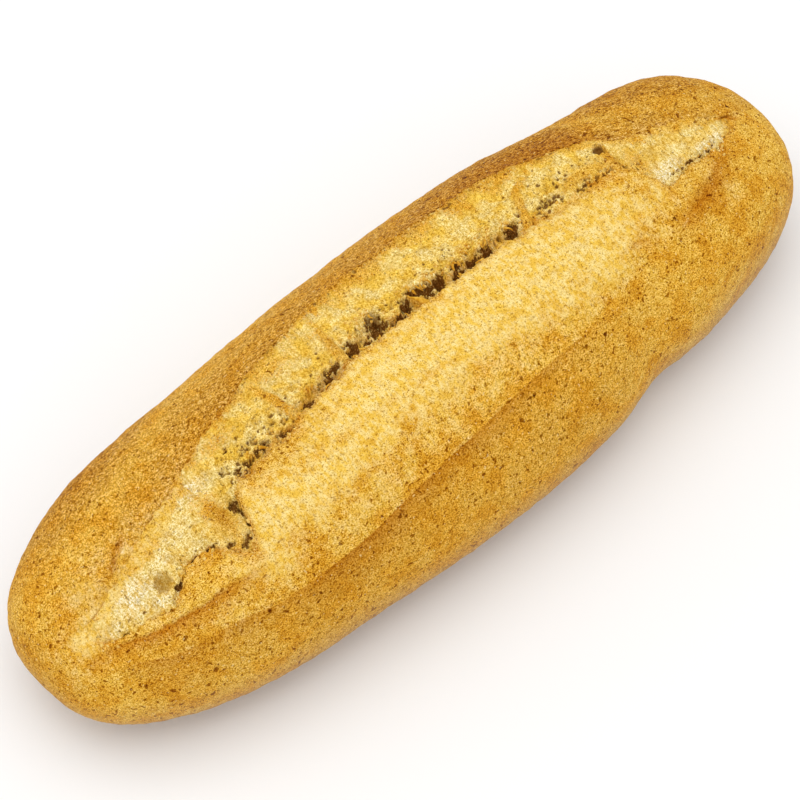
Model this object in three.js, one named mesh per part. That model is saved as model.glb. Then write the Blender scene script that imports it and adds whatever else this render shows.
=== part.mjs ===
// Whole wheat bread loaf, baked as one piece: an oblong loaf with rounded ends and a flat sole, and one long
// split along the top. The skin swells up from a low crease to the crack, and past the crack the torn crumb
// climbs to a raised lip.
// Frame: millimetres, +X along the loaf, +Y towards the raised lip, +Z up, origin under the loaf's middle.
import * as THREE from "three";
import { ImprovedNoise } from "three/addons/math/ImprovedNoise.js";
import { mergeVertices } from "three/addons/utils/BufferGeometryUtils.js";

// Driving dimensions of the plain loaf, before the split swells it.
const LENGTH = 300; // end to end
const WIDTH = 99; // across the middle
const HEIGHT = 66; // sole to crown at the middle
const WAIST_HEIGHT = 27; // the widest line, where both end tips lie
const SOLE_CUT = 2; // how much of the rounded underside the flat sole takes off

// Fullness of the rounded forms: 2 is an ellipse, and higher values are nearer to a box.
const END_FULLNESS = 2.5; // how far along the loaf keeps its width
const LEFT_BLUNTNESS = 2.7; // how bluntly the left end closes, at -X
const RIGHT_BLUNTNESS = 3.0;
const SOLE_FULLNESS = 4.0; // how far along the sole stays on the table
const CROWN_FULLNESS = 2.15; // of a section above the waist
const FOOT_FULLNESS = 3.0; // of a section below the waist

// Places where the loaf is fuller or leaner than the plain form: centre and spread along it, and the change
// in half width.
const FAR_SWELLS = [
  { along: -118, spread: 30, rise: 2.2 },
  { along: -62, spread: 22, rise: -1.0 },
  { along: -30, spread: 50, rise: -2.2 },
  { along: 40, spread: 30, rise: -1.2 },
  { along: 88, spread: 26, rise: -3.8 },
  { along: 132, spread: 20, rise: 3.2 },
];
const NEAR_SWELLS = [
  { along: -62, spread: 20, rise: -0.7 },
  { along: 4, spread: 36, rise: 1.8 },
  { along: 64, spread: 15, rise: -3.8 },
  { along: 98, spread: 18, rise: -1.4 },
];
const LEFT_SWAY = 2.0; // how far the left tip lies towards the lip's side
const SWAY_FULLNESS = 8; // how far along the loaf stays straight before it sways

// The split, station by station. crease, crack and lip are the distances across the loaf of its near edge,
// its deepest line and its far edge. gape is how wide the crack opens, depth how far it sinks, lift how far
// the lip stands up, and bloom how far the skin between crease and crack swells.
const SPLIT = [
  { along: -141, crease: -15, crack: -8, lip: -5, gape: 1.5, depth: 0, lift: 0, bloom: 0 },
  { along: -132, crease: -22, crack: -14.5, lip: -5.5, gape: 1.5, depth: 0.5, lift: 0, bloom: 0.2 },
  { along: -122, crease: -28, crack: -17.5, lip: -3.5, gape: 2, depth: 0.8, lift: 0, bloom: 0.5 },
  { along: -114, crease: -31, crack: -20, lip: -0.5, gape: 2.5, depth: 1.2, lift: 0.1, bloom: 0.7 },
  { along: -104, crease: -33, crack: -15, lip: 2.5, gape: 2.5, depth: 1.0, lift: 0.2, bloom: 0.8 },
  { along: -96, crease: -35, crack: -15.5, lip: 4.5, gape: 2.5, depth: 1.2, lift: 0.4, bloom: 0.9 },
  { along: -89, crease: -37, crack: -21, lip: 7, gape: 2.5, depth: 1.8, lift: 0.6, bloom: 1.0 },
  { along: -84, crease: -37.5, crack: -20, lip: 9, gape: 2.5, depth: 2.0, lift: 0.9, bloom: 1.2 },
  { along: -80, crease: -38, crack: -9, lip: 11, gape: 2.5, depth: 1.6, lift: 1.0, bloom: 1.4 },
  { along: -74, crease: -38.5, crack: -5, lip: 13, gape: 3, depth: 2.4, lift: 1.3, bloom: 1.6 },
  { along: -52, crease: -39, crack: -3.2, lip: 18.5, gape: 3, depth: 3.4, lift: 2.4, bloom: 2.0 },
  { along: -44, crease: -38.5, crack: -0.2, lip: 20.5, gape: 4, depth: 4.8, lift: 2.7, bloom: 2.1 },
  { along: -15, crease: -37, crack: 3.8, lip: 24.5, gape: 6.5, depth: 6.2, lift: 3.4, bloom: 2.2 },
  { along: 20, crease: -34, crack: 3.8, lip: 24.8, gape: 6, depth: 6.2, lift: 3.6, bloom: 2.2 },
  { along: 44, crease: -32.5, crack: 3, lip: 24.4, gape: 5, depth: 5.4, lift: 3.3, bloom: 2.0 },
  { along: 52, crease: -31.5, crack: 1.5, lip: 23.5, gape: 3, depth: 1.8, lift: 3.1, bloom: 2.0 },
  { along: 66, crease: -30, crack: 0, lip: 20.5, gape: 2.5, depth: 1.2, lift: 2.4, bloom: 1.8 },
  { along: 84, crease: -27, crack: -1, lip: 15, gape: 2, depth: 0.8, lift: 1.4, bloom: 1.4 },
  { along: 88, crease: -26, crack: -4, lip: 12, gape: 2, depth: 0.5, lift: 1.2, bloom: 1.2 },
  { along: 92, crease: -25, crack: -12, lip: 8.5, gape: 2, depth: 0.7, lift: 1.0, bloom: 1.1 },
  { along: 104, crease: -22, crack: -11.5, lip: 5.5, gape: 2, depth: 1.1, lift: 0.7, bloom: 0.8 },
  { along: 116, crease: -20, crack: -11.5, lip: 2.5, gape: 2, depth: 1.1, lift: 0.5, bloom: 0.6 },
  { along: 126, crease: -16, crack: -9, lip: -2, gape: 1.5, depth: 0.6, lift: 0.2, bloom: 0.2 },
  { along: 134, crease: -13, crack: -6, lip: -4.5, gape: 1.5, depth: 0, lift: 0, bloom: 0 },
];
const TRACKS = ["crease", "crack", "lip"];

// Strands of crumb that still bridge the crack, where it is shallow.
const BRIDGES = [-79, -50, -26.5, 48, 89];
const BRIDGE_SPREAD = 2.6;
const BRIDGE_FILL = 0.75; // share of the crack's depth that a bridge fills

const BLOOM_ARC = 0.8 * Math.PI; // the part of a half wave that the bloom follows, high at the crack
const BLOOM_ROUND = 1.1; // how softly the bloom rises from the crease
const CRACK_ROUND = 1.3; // how wide the crack's near edge rounds over
const CRACK_FLOOR = 0.4; // how wide the crack is at the bottom, as a share of its gape
const CRACK_WALL = 0.68; // share of the crack's depth that its far wall climbs, below the sloping crumb
const SLOPE_ROUND = 1.5; // how the torn crumb's slope flattens towards the lip
const LIFT_RISE = 4; // how closely the lip's rise keeps to the lip
const LIFT_FADE = 15; // how far past the lip the raised crust settles back
const CREASE_STEP = 0.5; // height of the crust's edge along the crease
const CREASE_FADE = 5;
const CRAG_HEIGHT = 3.2; // of the torn crumb's crags
const CRAG_LENGTH = 7; // from one crag to the next
const CRAG_START = 20; // where the crags start in the field of noise
const CRAG_DEPTH = 2; // how deep the crack is where the crags are at their full height

// The torn edges bend out of their lines: how far each does, the way from one bend to the next, and where the
// bends start in the field of noise.
const CRACK_WAVER = 2.4;
const LIP_WAVER = 1.8;
const WAVER_LENGTH = 7;
const CRACK_WAVER_START = 5.5;
const LIP_WAVER_START = 11.5;

// Columns of facets in each span round a section, from the middle of the sole up the near side and down the
// far one.
const RINGS = 108;
const SPANS = { nearFoot: 7, nearSide: 5, bloom: 14, torn: 14, farSide: 6, farFoot: 7 };
const COLUMNS = Object.values(SPANS).reduce((sum, columns) => sum + columns, 0);
const RING_CROWDING = 0.28; // 0 spaces the rings evenly, and 0.5 crowds them to the tips
const SIDE_CROWDING = 1.4; // columns crowd towards the crease
const BLOOM_CROWDING = 1.6; // columns crowd towards the crack from both sides
const TORN_CROWDING = 1.45;
const FAR_CROWDING = 1.3; // columns crowd towards the lip

const NORMAL_STEP = 0.01; // turn to both sides of a place, over which its normal is taken
const CROWN_LIMIT = 0.98; // the largest share of a half section that a track may lie out from the middle
const WELD = 1e-3; // points nearer than this become one

const halfLength = LENGTH / 2;
const signedPower = (value, power) => Math.sign(value) * Math.abs(value) ** power;

// The share of a full section that an end keeps, from 1 in the middle of the loaf to 0 at a tip.
function closing(share, fullness) {
  return (1 - Math.abs(share) ** fullness) ** (1 / (share < 0 ? LEFT_BLUNTNESS : RIGHT_BLUNTNESS));
}

// A smooth hump of height 1.
function bell(offset, spread) {
  return Math.exp(-((offset / spread) ** 2));
}

function swellAt(swells, along) {
  return swells.reduce((sum, swell) => sum + swell.rise * bell(along - swell.along, swell.spread), 0);
}

const noise = new ImprovedNoise();

// How far one place on the torn crumb stands out or sinks in.
function cragAt(along, across) {
  return CRAG_HEIGHT * noise.noise(along / CRAG_LENGTH, across / CRAG_LENGTH, CRAG_START);
}

// How far a torn edge bends out of its line at one place along the loaf.
function waverAt(along, start) {
  return noise.noise(along / WAVER_LENGTH, start, start);
}

// The plain loaf's section at one place along it.
function sectionAt(along) {
  const share = THREE.MathUtils.clamp(along / halfLength, -1, 1);
  const size = closing(share, END_FULLNESS);
  return {
    middle: share < 0 ? LEFT_SWAY * share ** SWAY_FULLNESS : 0,
    near: (WIDTH / 2 + swellAt(NEAR_SWELLS, along)) * size,
    far: (WIDTH / 2 + swellAt(FAR_SWELLS, along)) * size,
    crown: (HEIGHT - WAIST_HEIGHT) * size,
    foot: (WAIST_HEIGHT + SOLE_CUT) * closing(share, SOLE_FULLNESS),
  };
}

// A point of a section as (across, up). angle is -PI and PI at the sole, 0 at the crown, and positive on the
// far side.
function sectionPoint(section, angle) {
  const [sine, cosine] = [Math.sin(angle), Math.cos(angle)];
  const power = 2 / (cosine >= 0 ? CROWN_FULLNESS : FOOT_FULLNESS);
  const half = sine < 0 ? section.near : section.far;
  const rise = cosine >= 0 ? section.crown : section.foot;
  const across = section.middle + half * signedPower(sine, power);
  return new THREE.Vector2(across, WAIST_HEIGHT + rise * signedPower(cosine, power));
}

function sectionNormal(section, angle) {
  const along = sectionPoint(section, angle + NORMAL_STEP).sub(sectionPoint(section, angle - NORMAL_STEP));
  return along.lengthSq() > 0 ? new THREE.Vector2(-along.y, along.x).normalize() : new THREE.Vector2(0, 1);
}

// The angle at which a section's crown reaches a distance across the loaf.
function angleAt(section, across) {
  const offset = across - section.middle;
  const half = offset < 0 ? section.near : section.far;
  const share = THREE.MathUtils.clamp(offset / half, -CROWN_LIMIT, CROWN_LIMIT);
  return Math.asin(signedPower(share, CROWN_FULLNESS / 2));
}

const splitKeys = Object.keys(SPLIT[0]).filter((key) => key !== "along");
const splitCurve = new THREE.CubicInterpolant(
  SPLIT.map((station) => station.along),
  SPLIT.flatMap((station) => splitKeys.map((key) => station[key])),
  splitKeys.length,
);

// The split's sizes at one place along the loaf. Past its tips they stay as they are there.
function splitAt(along) {
  const within = THREE.MathUtils.clamp(along, SPLIT[0].along, SPLIT.at(-1).along);
  const values = splitCurve.evaluate(within);
  const split = Object.fromEntries(splitKeys.map((key, k) => [key, values[k]]));
  const bridged = Math.max(...BRIDGES.map((at) => bell(along - at, BRIDGE_SPREAD)));
  split.depth = Math.max(0, split.depth) * (1 - BRIDGE_FILL * bridged);
  split.opened = Math.min(1, split.bloom);
  split.crack += split.opened * CRACK_WAVER * waverAt(along, CRACK_WAVER_START);
  split.lip += split.opened * LIP_WAVER * waverAt(along, LIP_WAVER_START);
  const tip = sectionAt(within);
  split.angles = TRACKS.map((track) => angleAt(tip, split[track]));
  return split;
}

// The spans round one ring: the angles that each lies between, its columns, and the relief over it at share 0
// to 1.
function spansAt(split, along) {
  const [crease, crack, lip] = split.angles;
  const bloomWidth = split.crack - split.crease;
  const tornWidth = split.lip - split.crack;
  const radius = WIDTH / 2;
  return [
    { columns: SPANS.nearFoot, from: -Math.PI, to: -Math.PI / 2, spread: (t) => t, relief: () => 0 },
    {
      columns: SPANS.nearSide,
      from: -Math.PI / 2,
      to: crease,
      spread: (t) => 1 - (1 - t) ** SIDE_CROWDING,
      relief: (t) => {
        const below = (1 - t) * (crease + Math.PI / 2) * radius;
        return CREASE_STEP * split.opened * Math.exp(-below / CREASE_FADE);
      },
    },
    {
      columns: SPANS.bloom,
      from: crease,
      to: crack,
      spread: (t) => 1 - (1 - t) ** BLOOM_CROWDING,
      relief: (t) =>
        split.bloom * Math.sin(BLOOM_ARC * t) ** BLOOM_ROUND -
        split.depth * bell((1 - t) * bloomWidth, CRACK_ROUND),
    },
    {
      columns: SPANS.torn,
      from: crack,
      to: lip,
      spread: (t) => t ** TORN_CROWDING,
      relief: (t) => {
        const gap = t * tornWidth;
        const wall = 1 - THREE.MathUtils.smoothstep(gap, CRACK_FLOOR * split.gape, split.gape);
        const slope = (1 - t) ** SLOPE_ROUND;
        const sunk = split.depth * (CRACK_WALL * wall + (1 - CRACK_WALL) * slope);
        const craggy = Math.min(1, split.depth / CRAG_DEPTH) * Math.sin(Math.PI * t);
        return split.lift * t ** LIFT_RISE - sunk + craggy * cragAt(along, split.crack + gap);
      },
    },
    {
      columns: SPANS.farSide,
      from: lip,
      to: Math.PI / 2,
      spread: (t) => t ** FAR_CROWDING,
      relief: (t) => split.lift * Math.exp((-t * (Math.PI / 2 - lip) * radius) / LIFT_FADE),
    },
    { columns: SPANS.farFoot, from: Math.PI / 2, to: Math.PI, spread: (t) => t, relief: () => 0 },
  ];
}

// One point of the loaf's skin.
function skinPoint(ring, column) {
  const even = (2 * ring) / RINGS - 1;
  const along = halfLength * (even + RING_CROWDING * (even - even ** 3));
  const section = sectionAt(along);
  let rest = column % COLUMNS;
  for (const span of spansAt(splitAt(along), along)) {
    if (rest >= span.columns) {
      rest -= span.columns;
      continue;
    }
    const share = span.spread(rest / span.columns);
    const angle = THREE.MathUtils.lerp(span.from, span.to, share);
    const point = sectionPoint(section, angle);
    point.addScaledVector(sectionNormal(section, angle), span.relief(share));
    return new THREE.Vector3(along, point.x, Math.max(0, point.y));
  }
}

// The skin starts as a sphere whose rows are the loaf's rings, and each of its points moves to its place on
// the loaf.
function loafGeometry() {
  const skin = new THREE.SphereGeometry(1, COLUMNS, RINGS);
  const position = skin.getAttribute("position");
  for (let ring = 0; ring <= RINGS; ring++) {
    for (let column = 0; column <= COLUMNS; column++) {
      const point = skinPoint(ring, column);
      position.setXYZ(ring * (COLUMNS + 1) + column, point.x, point.y, point.z);
    }
  }
  skin.deleteAttribute("normal");
  skin.deleteAttribute("uv");
  const closed = mergeVertices(skin, WELD);
  closed.computeBoundingBox();
  const middle = closed.boundingBox.getCenter(new THREE.Vector3());
  closed.translate(-middle.x, -middle.y, 0);
  closed.computeVertexNormals();
  return closed;
}

const crust = new THREE.MeshStandardMaterial({ color: 0xcf9a41, roughness: 0.75, metalness: 0 });
const loaf = new THREE.Mesh(loafGeometry(), crust);
loaf.name = "loaf";

const bread = new THREE.Group();
bread.add(loaf);

export default bread;
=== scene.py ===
"""Whole wheat bread loaf: its looks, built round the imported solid.

Four pieces make the loaf: the crust with the relief of its skin, the torn crumb that fills the split, the
strands of crumb that fray along the crack, and the loose crumbs that cling to the torn edges. Lengths in
this file are millimetres unless a comment says otherwise.
"""

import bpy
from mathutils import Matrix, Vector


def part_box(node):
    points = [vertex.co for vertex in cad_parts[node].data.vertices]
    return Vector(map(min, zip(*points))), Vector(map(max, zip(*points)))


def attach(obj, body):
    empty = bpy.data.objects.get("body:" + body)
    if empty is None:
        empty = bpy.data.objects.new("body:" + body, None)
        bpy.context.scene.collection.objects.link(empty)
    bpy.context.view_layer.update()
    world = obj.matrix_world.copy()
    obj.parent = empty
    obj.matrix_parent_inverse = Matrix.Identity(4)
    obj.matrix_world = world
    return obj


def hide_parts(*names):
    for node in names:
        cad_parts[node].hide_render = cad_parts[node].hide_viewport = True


bl_info = {
    "name": "Whole Wheat Loaf",
    "version": (1, 0, 0),
    "blender": (4, 5, 0),
    "location": "3D View > Sidebar > Loaf",
    "description": "Builds an oblong whole wheat loaf with its crust, torn crumb and frayed strands",
    "category": "Add Mesh",
}

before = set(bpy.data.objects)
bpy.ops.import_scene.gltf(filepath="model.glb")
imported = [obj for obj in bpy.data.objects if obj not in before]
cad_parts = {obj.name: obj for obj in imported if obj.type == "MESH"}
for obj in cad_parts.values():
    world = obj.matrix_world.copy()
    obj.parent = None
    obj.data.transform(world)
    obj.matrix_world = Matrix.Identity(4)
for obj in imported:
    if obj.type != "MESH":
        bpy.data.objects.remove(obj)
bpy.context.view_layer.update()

import functools
import math

import bmesh
import bpy
import numpy as np
from bpy.props import FloatProperty, FloatVectorProperty, IntProperty, PointerProperty
from mathutils import Vector

MM = 0.001
LOAF_LOW, LOAF_HIGH = (np.array(corner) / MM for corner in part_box("loaf"))

# The plain form of the loaf, before the split swells it
LENGTH = LOAF_HIGH[0] - LOAF_LOW[0]
WIDTH = 99.0
HEIGHT = 66.0
WAIST_HEIGHT = 27.0
SOLE_CUT = 2.0
END_FULLNESS = 2.5
LEFT_BLUNTNESS = 2.7
RIGHT_BLUNTNESS = 3.0
SOLE_FULLNESS = 4.0
CROWN_FULLNESS = 2.15
FOOT_FULLNESS = 3.0
LEFT_SWAY = 2.0
SWAY_POWER = 8

# Fuller and leaner places: centre and spread along the loaf, and the change in half width
FAR_SWELLS = (
    (-118, 30, 2.2), (-62, 22, -1.0), (-30, 50, -2.2), (40, 30, -1.2), (88, 26, -3.8), (132, 20, 3.2),
)
NEAR_SWELLS = ((-62, 20, -0.7), (4, 36, 1.8), (64, 15, -3.8), (98, 18, -1.4))

# The split, station by station: along the loaf, the places across it of crease, crack and lip, and how far
# the crack sinks, the lip stands up and the skin between crease and crack swells
SPLIT = np.array((
    (-141, -15, -8, -5, 0.0, 0.0, 0.0),
    (-132, -22, -14.5, -5.5, 0.3, 0.0, 0.2),
    (-122, -28, -17.5, -3.5, 0.5, 0.0, 0.5),
    (-114, -31, -20, -0.5, 0.8, 0.1, 0.7),
    (-104, -33, -15, 2.5, 0.7, 0.2, 0.8),
    (-96, -35, -15.5, 4.5, 0.8, 0.4, 0.9),
    (-89, -37, -22.5, 7, 1.2, 0.6, 1.0),
    (-84, -37.5, -21.5, 9, 1.2, 0.9, 1.2),
    (-80, -38, -9, 11, 1.4, 1.0, 1.4),
    (-74, -38.5, -5, 13, 2.0, 1.3, 1.6),
    (-52, -39, -3.2, 18.5, 2.8, 2.4, 2.0),
    (-44, -38.5, -0.6, 20.5, 3.6, 2.7, 2.1),
    (-15, -37, 3.0, 24.5, 4.6, 3.4, 2.2),
    (20, -34.6, 3.0, 24.8, 4.6, 3.6, 2.2),
    (44, -33.3, 2.2, 24.4, 4.0, 3.3, 2.0),
    (52, -32.2, 1.0, 23.5, 1.6, 3.1, 2.0),
    (66, -30.4, 0, 20.5, 1.0, 2.4, 1.8),
    (84, -27, -1, 15, 0.6, 1.4, 1.4),
    (88, -26, -4, 12, 0.5, 1.2, 1.2),
    (92, -25, -12, 8.5, 0.4, 1.0, 1.1),
    (104, -22, -11.5, 5.5, 0.8, 0.7, 0.8),
    (116, -20, -11.5, 2.5, 0.8, 0.5, 0.6),
    (126, -16, -9, -2, 0.5, 0.2, 0.2),
    (134, -13, -6, -4.5, 0.0, 0.0, 0.0),
))
SPLIT_NAMES = ("crease", "crack", "lip", "depth", "lift", "bloom")

# How wide the crack gapes, at places along the loaf
CRACK_MOUTHS = np.array((
    (-141, 0.6), (-112, 1.4), (-100, 1.2), (-88, 2.0), (-80, 0.8), (-76, 1.6), (-70, 2.2), (-58, 2.0),
    (-52, 1.6), (-50, 0.8), (-48, 3.2), (-42, 3.4), (-37, 2.2), (-34, 4.0), (-30, 2.4), (-28, 0.8),
    (-25, 0.8), (-23.5, 5.5), (-18, 5.5), (-16.5, 7.6), (-9.5, 8.0), (-8.5, 3.0), (-2, 2.6), (-0.5, 5.8),
    (8, 6.2), (9.5, 5.2), (16, 5.4), (18, 3.6), (23, 3.6), (25, 5.6), (33, 5.4), (40, 4.8), (46, 4.8),
    (48, 1.0), (52, 1.6), (60, 1.6), (70, 1.8), (88, 0.6), (94, 1.2), (115, 1.4), (134, 0.6),
))
# Bridges of skin over the crack: their places along the loaf, how wide they are and how far they fill it
BRIDGES = (-79.0, -50.0, -26.5, 48.0, 89.0)
BRIDGE_SPREAD = 2.6
BRIDGE_FILL = 0.75
# A tuft of the near skin that leans over the crack: its foot and its tip, along and across, and its size
TUFT_FOOT = (5.4, 1.0)
TUFT_TIP = (2.6, 7.4)
TUFT_THICKNESS = 2.6
TUFT_ARCH = 0.6
# Ragged run of the torn edges, in parts: height, place in the noise, size along the loaf
RAGGED_MOUTH = ((0.35, 41.3, 2.6), (0.3, 47.9, 1.2))
RAGGED_CRACK = ((1.0, 3.3, 5.0), (1.2, 9.1, 2.2), (0.8, 15.7, 1.3))
RAGGED_LIP = ((1.0, 21.7, 9.0), (1.0, 33.9, 2.8))

# The split's relief: the arc of the swollen skin, the crack's edge, floor, wall and slope, the lip, the
# step at the crease, and how far the crust lies below the crumb
BLOOM_ARC = 0.8 * math.pi
BLOOM_POWER = 1.1
CRACK_ROUND = 1.0
CRACK_FLOOR = 0.35
CRACK_WALL = 0.68
CRACK_SLOPE = 1.5
LEAST_MOUTH = 0.5
LIFT_POWER = 4
LIFT_FADE = 15.0
CREASE_STEP = 0.5
CREASE_FADE = 5.0
OPENING_RUN = 14.0
RECESS = 4.5
RECESS_START = 0.25
RECESS_FALL = 0.15
RECESS_RISE = 0.07

# Spans round the crust, from the middle of the sole up the near side, over the split and down the far side
NEAR_SIDE, BLOOM, UNDER_CRUMB, FAR_SIDE = range(1, 5)
SPAN_COLUMNS = (12, 38, 58, 10, 38, 8)
SIDE_CROWDING = 1.15
BLOOM_CROWDING = 1.35

CRUST_RINGS = 600
CRUMB_RINGS = 780
CRUMB_COLUMNS = 74
CRUMB_START = -0.10
CRUMB_END = 1.08
STRAND_STEPS = 7
STRAND_SIDES = 6
PLAIN_STEPS = 6001
SHIFT_STEPS = 2001
STEEPEST = 0.98
TINY = 1e-9


def signed_power(value, power):
    return np.sign(value) * np.abs(value) ** power


def smooth_step(value, low, high):
    share = np.clip((value - low) / (high - low), 0, 1)
    return share * share * (3 - 2 * share)


def bell(value, centre, spread):
    return np.exp(-(((value - centre) / spread) ** 2))


def smooth_through(places, values, at):
    """Values on a smooth curve through stations. Its slope at one is the mean of the slopes beside it."""
    rise = np.diff(values) / np.diff(places)
    slope = np.concatenate((rise[:1], (rise[1:] + rise[:-1]) / 2, rise[-1:]))
    i = np.clip(np.searchsorted(places, at) - 1, 0, len(places) - 2)
    step = places[i + 1] - places[i]
    t = (at - places[i]) / step
    ease = t * t * (3 - 2 * t)
    start = slope[i] * step * t * (1 - t) ** 2
    end = slope[i + 1] * step * t * t * (t - 1)
    return values[i] + (values[i + 1] - values[i]) * ease + start + end


NOISE_CELLS = 256
NOISE_GAIN = 1.6
OCTAVE_FALLOFF = 0.55
OCTAVE_STEP = 2.1


class Grain:
    """Smooth seeded noise over points, from about -1 to 1."""

    def __init__(self, seed):
        draw = np.random.default_rng(seed)
        self.order = draw.permutation(NOISE_CELLS)
        slopes = draw.normal(size=(NOISE_CELLS, 3))
        self.slopes = NOISE_GAIN * slopes / np.linalg.norm(slopes, axis=1, keepdims=True)

    def at(self, points, size):
        place = np.asarray(points, float) / np.asarray(size, float)
        cell = np.floor(place).astype(int)
        inside = place - cell
        ease = inside ** 3 * (inside * (inside * 6 - 15) + 10)
        total = np.zeros(place.shape[:-1])
        for corner in np.ndindex(2, 2, 2):
            pick = 0
            for key in np.moveaxis(cell + corner, -1, 0):
                pick = self.order[(pick + key) % NOISE_CELLS]
            weight = np.prod(np.where(corner, ease, 1 - ease), axis=-1)
            total += weight * np.sum(self.slopes[pick] * (inside - corner), axis=-1)
        return total

    def fine(self, points, size, octaves=3):
        size = np.asarray(size, float)
        return sum(OCTAVE_FALLOFF ** k * self.at(points, size / OCTAVE_STEP ** k) for k in range(octaves))

    def scaled(self, points, height, size):
        return height * self.at(points, size)

    def spots(self, points, size, low, high):
        return smooth_step(self.at(points, size), low, high)


RAGGED = Grain(seed=11)
SKIN = Grain(seed=23)
TORN = Grain(seed=37)
TINT = Grain(seed=51)


def on_line(along, shift):
    """Points for one-dimensional noise along the loaf."""
    return np.stack((along, np.full_like(along, shift), np.zeros_like(along)), axis=-1)


def swell_at(swells, along):
    return sum(rise * bell(along, centre, spread) for centre, spread, rise in swells)


def closing(share, fullness):
    blunt = np.where(share < 0, LEFT_BLUNTNESS, RIGHT_BLUNTNESS)
    return (1 - np.abs(share) ** fullness) ** (1 / blunt)


def section_at(along):
    """The plain loaf's section at places along it."""
    share = np.clip(along / (LENGTH / 2), -1, 1)
    size = closing(share, END_FULLNESS)
    return {
        "middle": np.where(share < 0, LEFT_SWAY * share ** SWAY_POWER, 0),
        "near": (WIDTH / 2 + swell_at(NEAR_SWELLS, along)) * size,
        "far": (WIDTH / 2 + swell_at(FAR_SWELLS, along)) * size,
        "crown": (HEIGHT - WAIST_HEIGHT) * size,
        "foot": (WAIST_HEIGHT + SOLE_CUT) * closing(share, SOLE_FULLNESS),
    }


def section_point(section, angle):
    """Across and up of section points, by the angle from the crown, which is positive on the far side."""
    sine, cosine = np.sin(angle), np.cos(angle)
    power = np.where(cosine >= 0, 2 / CROWN_FULLNESS, 2 / FOOT_FULLNESS)
    half = np.where(sine < 0, section["near"][:, None], section["far"][:, None])
    rise = np.where(cosine >= 0, section["crown"][:, None], section["foot"][:, None])
    across = section["middle"][:, None] + half * signed_power(sine, power)
    return across, WAIST_HEIGHT + rise * signed_power(cosine, power)


def section_normal(section, angle):
    step = 0.01
    after = section_point(section, angle + step)
    before = section_point(section, angle - step)
    across, up = before[1] - after[1], after[0] - before[0]
    size = np.maximum(np.hypot(across, up), TINY)
    return across / size, up / size


def angle_at(section, across):
    offset = across - section["middle"]
    half = np.where(offset < 0, section["near"], section["far"])
    return np.arcsin(signed_power(np.clip(offset / half, -STEEPEST, STEEPEST), CROWN_FULLNESS / 2))


def over_section(along, section, angle, relief):
    """Points raised by a relief from a section's outline, and the outward direction at each."""
    across, up = section_point(section, angle)
    side, rise = section_normal(section, angle)
    outward = np.stack((np.zeros_like(side), side, rise), -1)
    points = np.stack((np.broadcast_to(along, across.shape), across, up), -1)
    return points + outward * relief[..., None], outward


def ragged_run(along, parts):
    """An uneven run along the loaf, the sum of noises of several sizes."""
    return sum(RAGGED.scaled(on_line(along, shift), height, size) for height, shift, size in parts)


def split_at(along):
    """The split's sizes at places along the loaf, with the ragged run of its torn edges."""
    first, last = SPLIT[0, 0], SPLIT[-1, 0]
    within = np.clip(along, first, last)
    split = {n: smooth_through(SPLIT[:, 0], SPLIT[:, k + 1], within) for k, n in enumerate(SPLIT_NAMES)}
    bridged = np.max([bell(along, at, BRIDGE_SPREAD) for at in BRIDGES], axis=0)
    split["depth"] = np.maximum(split["depth"], 0) * (1 - BRIDGE_FILL * bridged)
    split["open"] = smooth_step(np.minimum(along - first, last - along), 0, OPENING_RUN)
    split["mouth"] = (1 + ragged_run(along, RAGGED_MOUTH)) * np.interp(along, *CRACK_MOUTHS.T)
    split["crack"] = split["crack"] + split["open"] * ragged_run(along, RAGGED_CRACK)
    split["lip"] = split["lip"] + split["open"] * ragged_run(along, RAGGED_LIP)
    split["torn"] = split["lip"] - split["crack"]
    section = section_at(within)
    split["angles"] = {n: angle_at(section, split[n])[:, None] for n in ("crease", "crack", "lip")}
    return split


def columns_of(split, *names):
    """Sizes of the split that can be used over a grid, ring by ring."""
    return [split[name][:, None] for name in names]


def torn_relief(split, share):
    """Relief of the torn crumb, from the crack's floor at share 0 to the lip at share 1."""
    share = np.clip(share, 0, 1)
    torn, mouth, depth, lift = columns_of(split, "torn", "mouth", "depth", "lift")
    mouth = np.maximum(mouth, LEAST_MOUTH)
    wall = CRACK_WALL * (1 - smooth_step(share * torn, CRACK_FLOOR * mouth, mouth))
    slope = (1 - CRACK_WALL) * (1 - share) ** CRACK_SLOPE
    return lift * share ** LIFT_POWER - depth * (wall + slope)


def bloom_relief(bloom, depth, share, back):
    """Relief of the swollen skin at a share of its width, some way back from the crack."""
    return bloom * np.sin(BLOOM_ARC * share) ** BLOOM_POWER - depth * np.exp(-((back / CRACK_ROUND) ** 2))


def ring_places(count):
    """Places along the loaf that space its rings evenly over the skin, tips included."""
    along = np.linspace(-LENGTH / 2, LENGTH / 2, PLAIN_STEPS)
    half = section_at(along)["near"]
    run = np.concatenate(([0], np.cumsum(np.hypot(np.diff(along), np.diff(half)))))
    return np.interp(np.linspace(0, run[-1], count), run, along)


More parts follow.
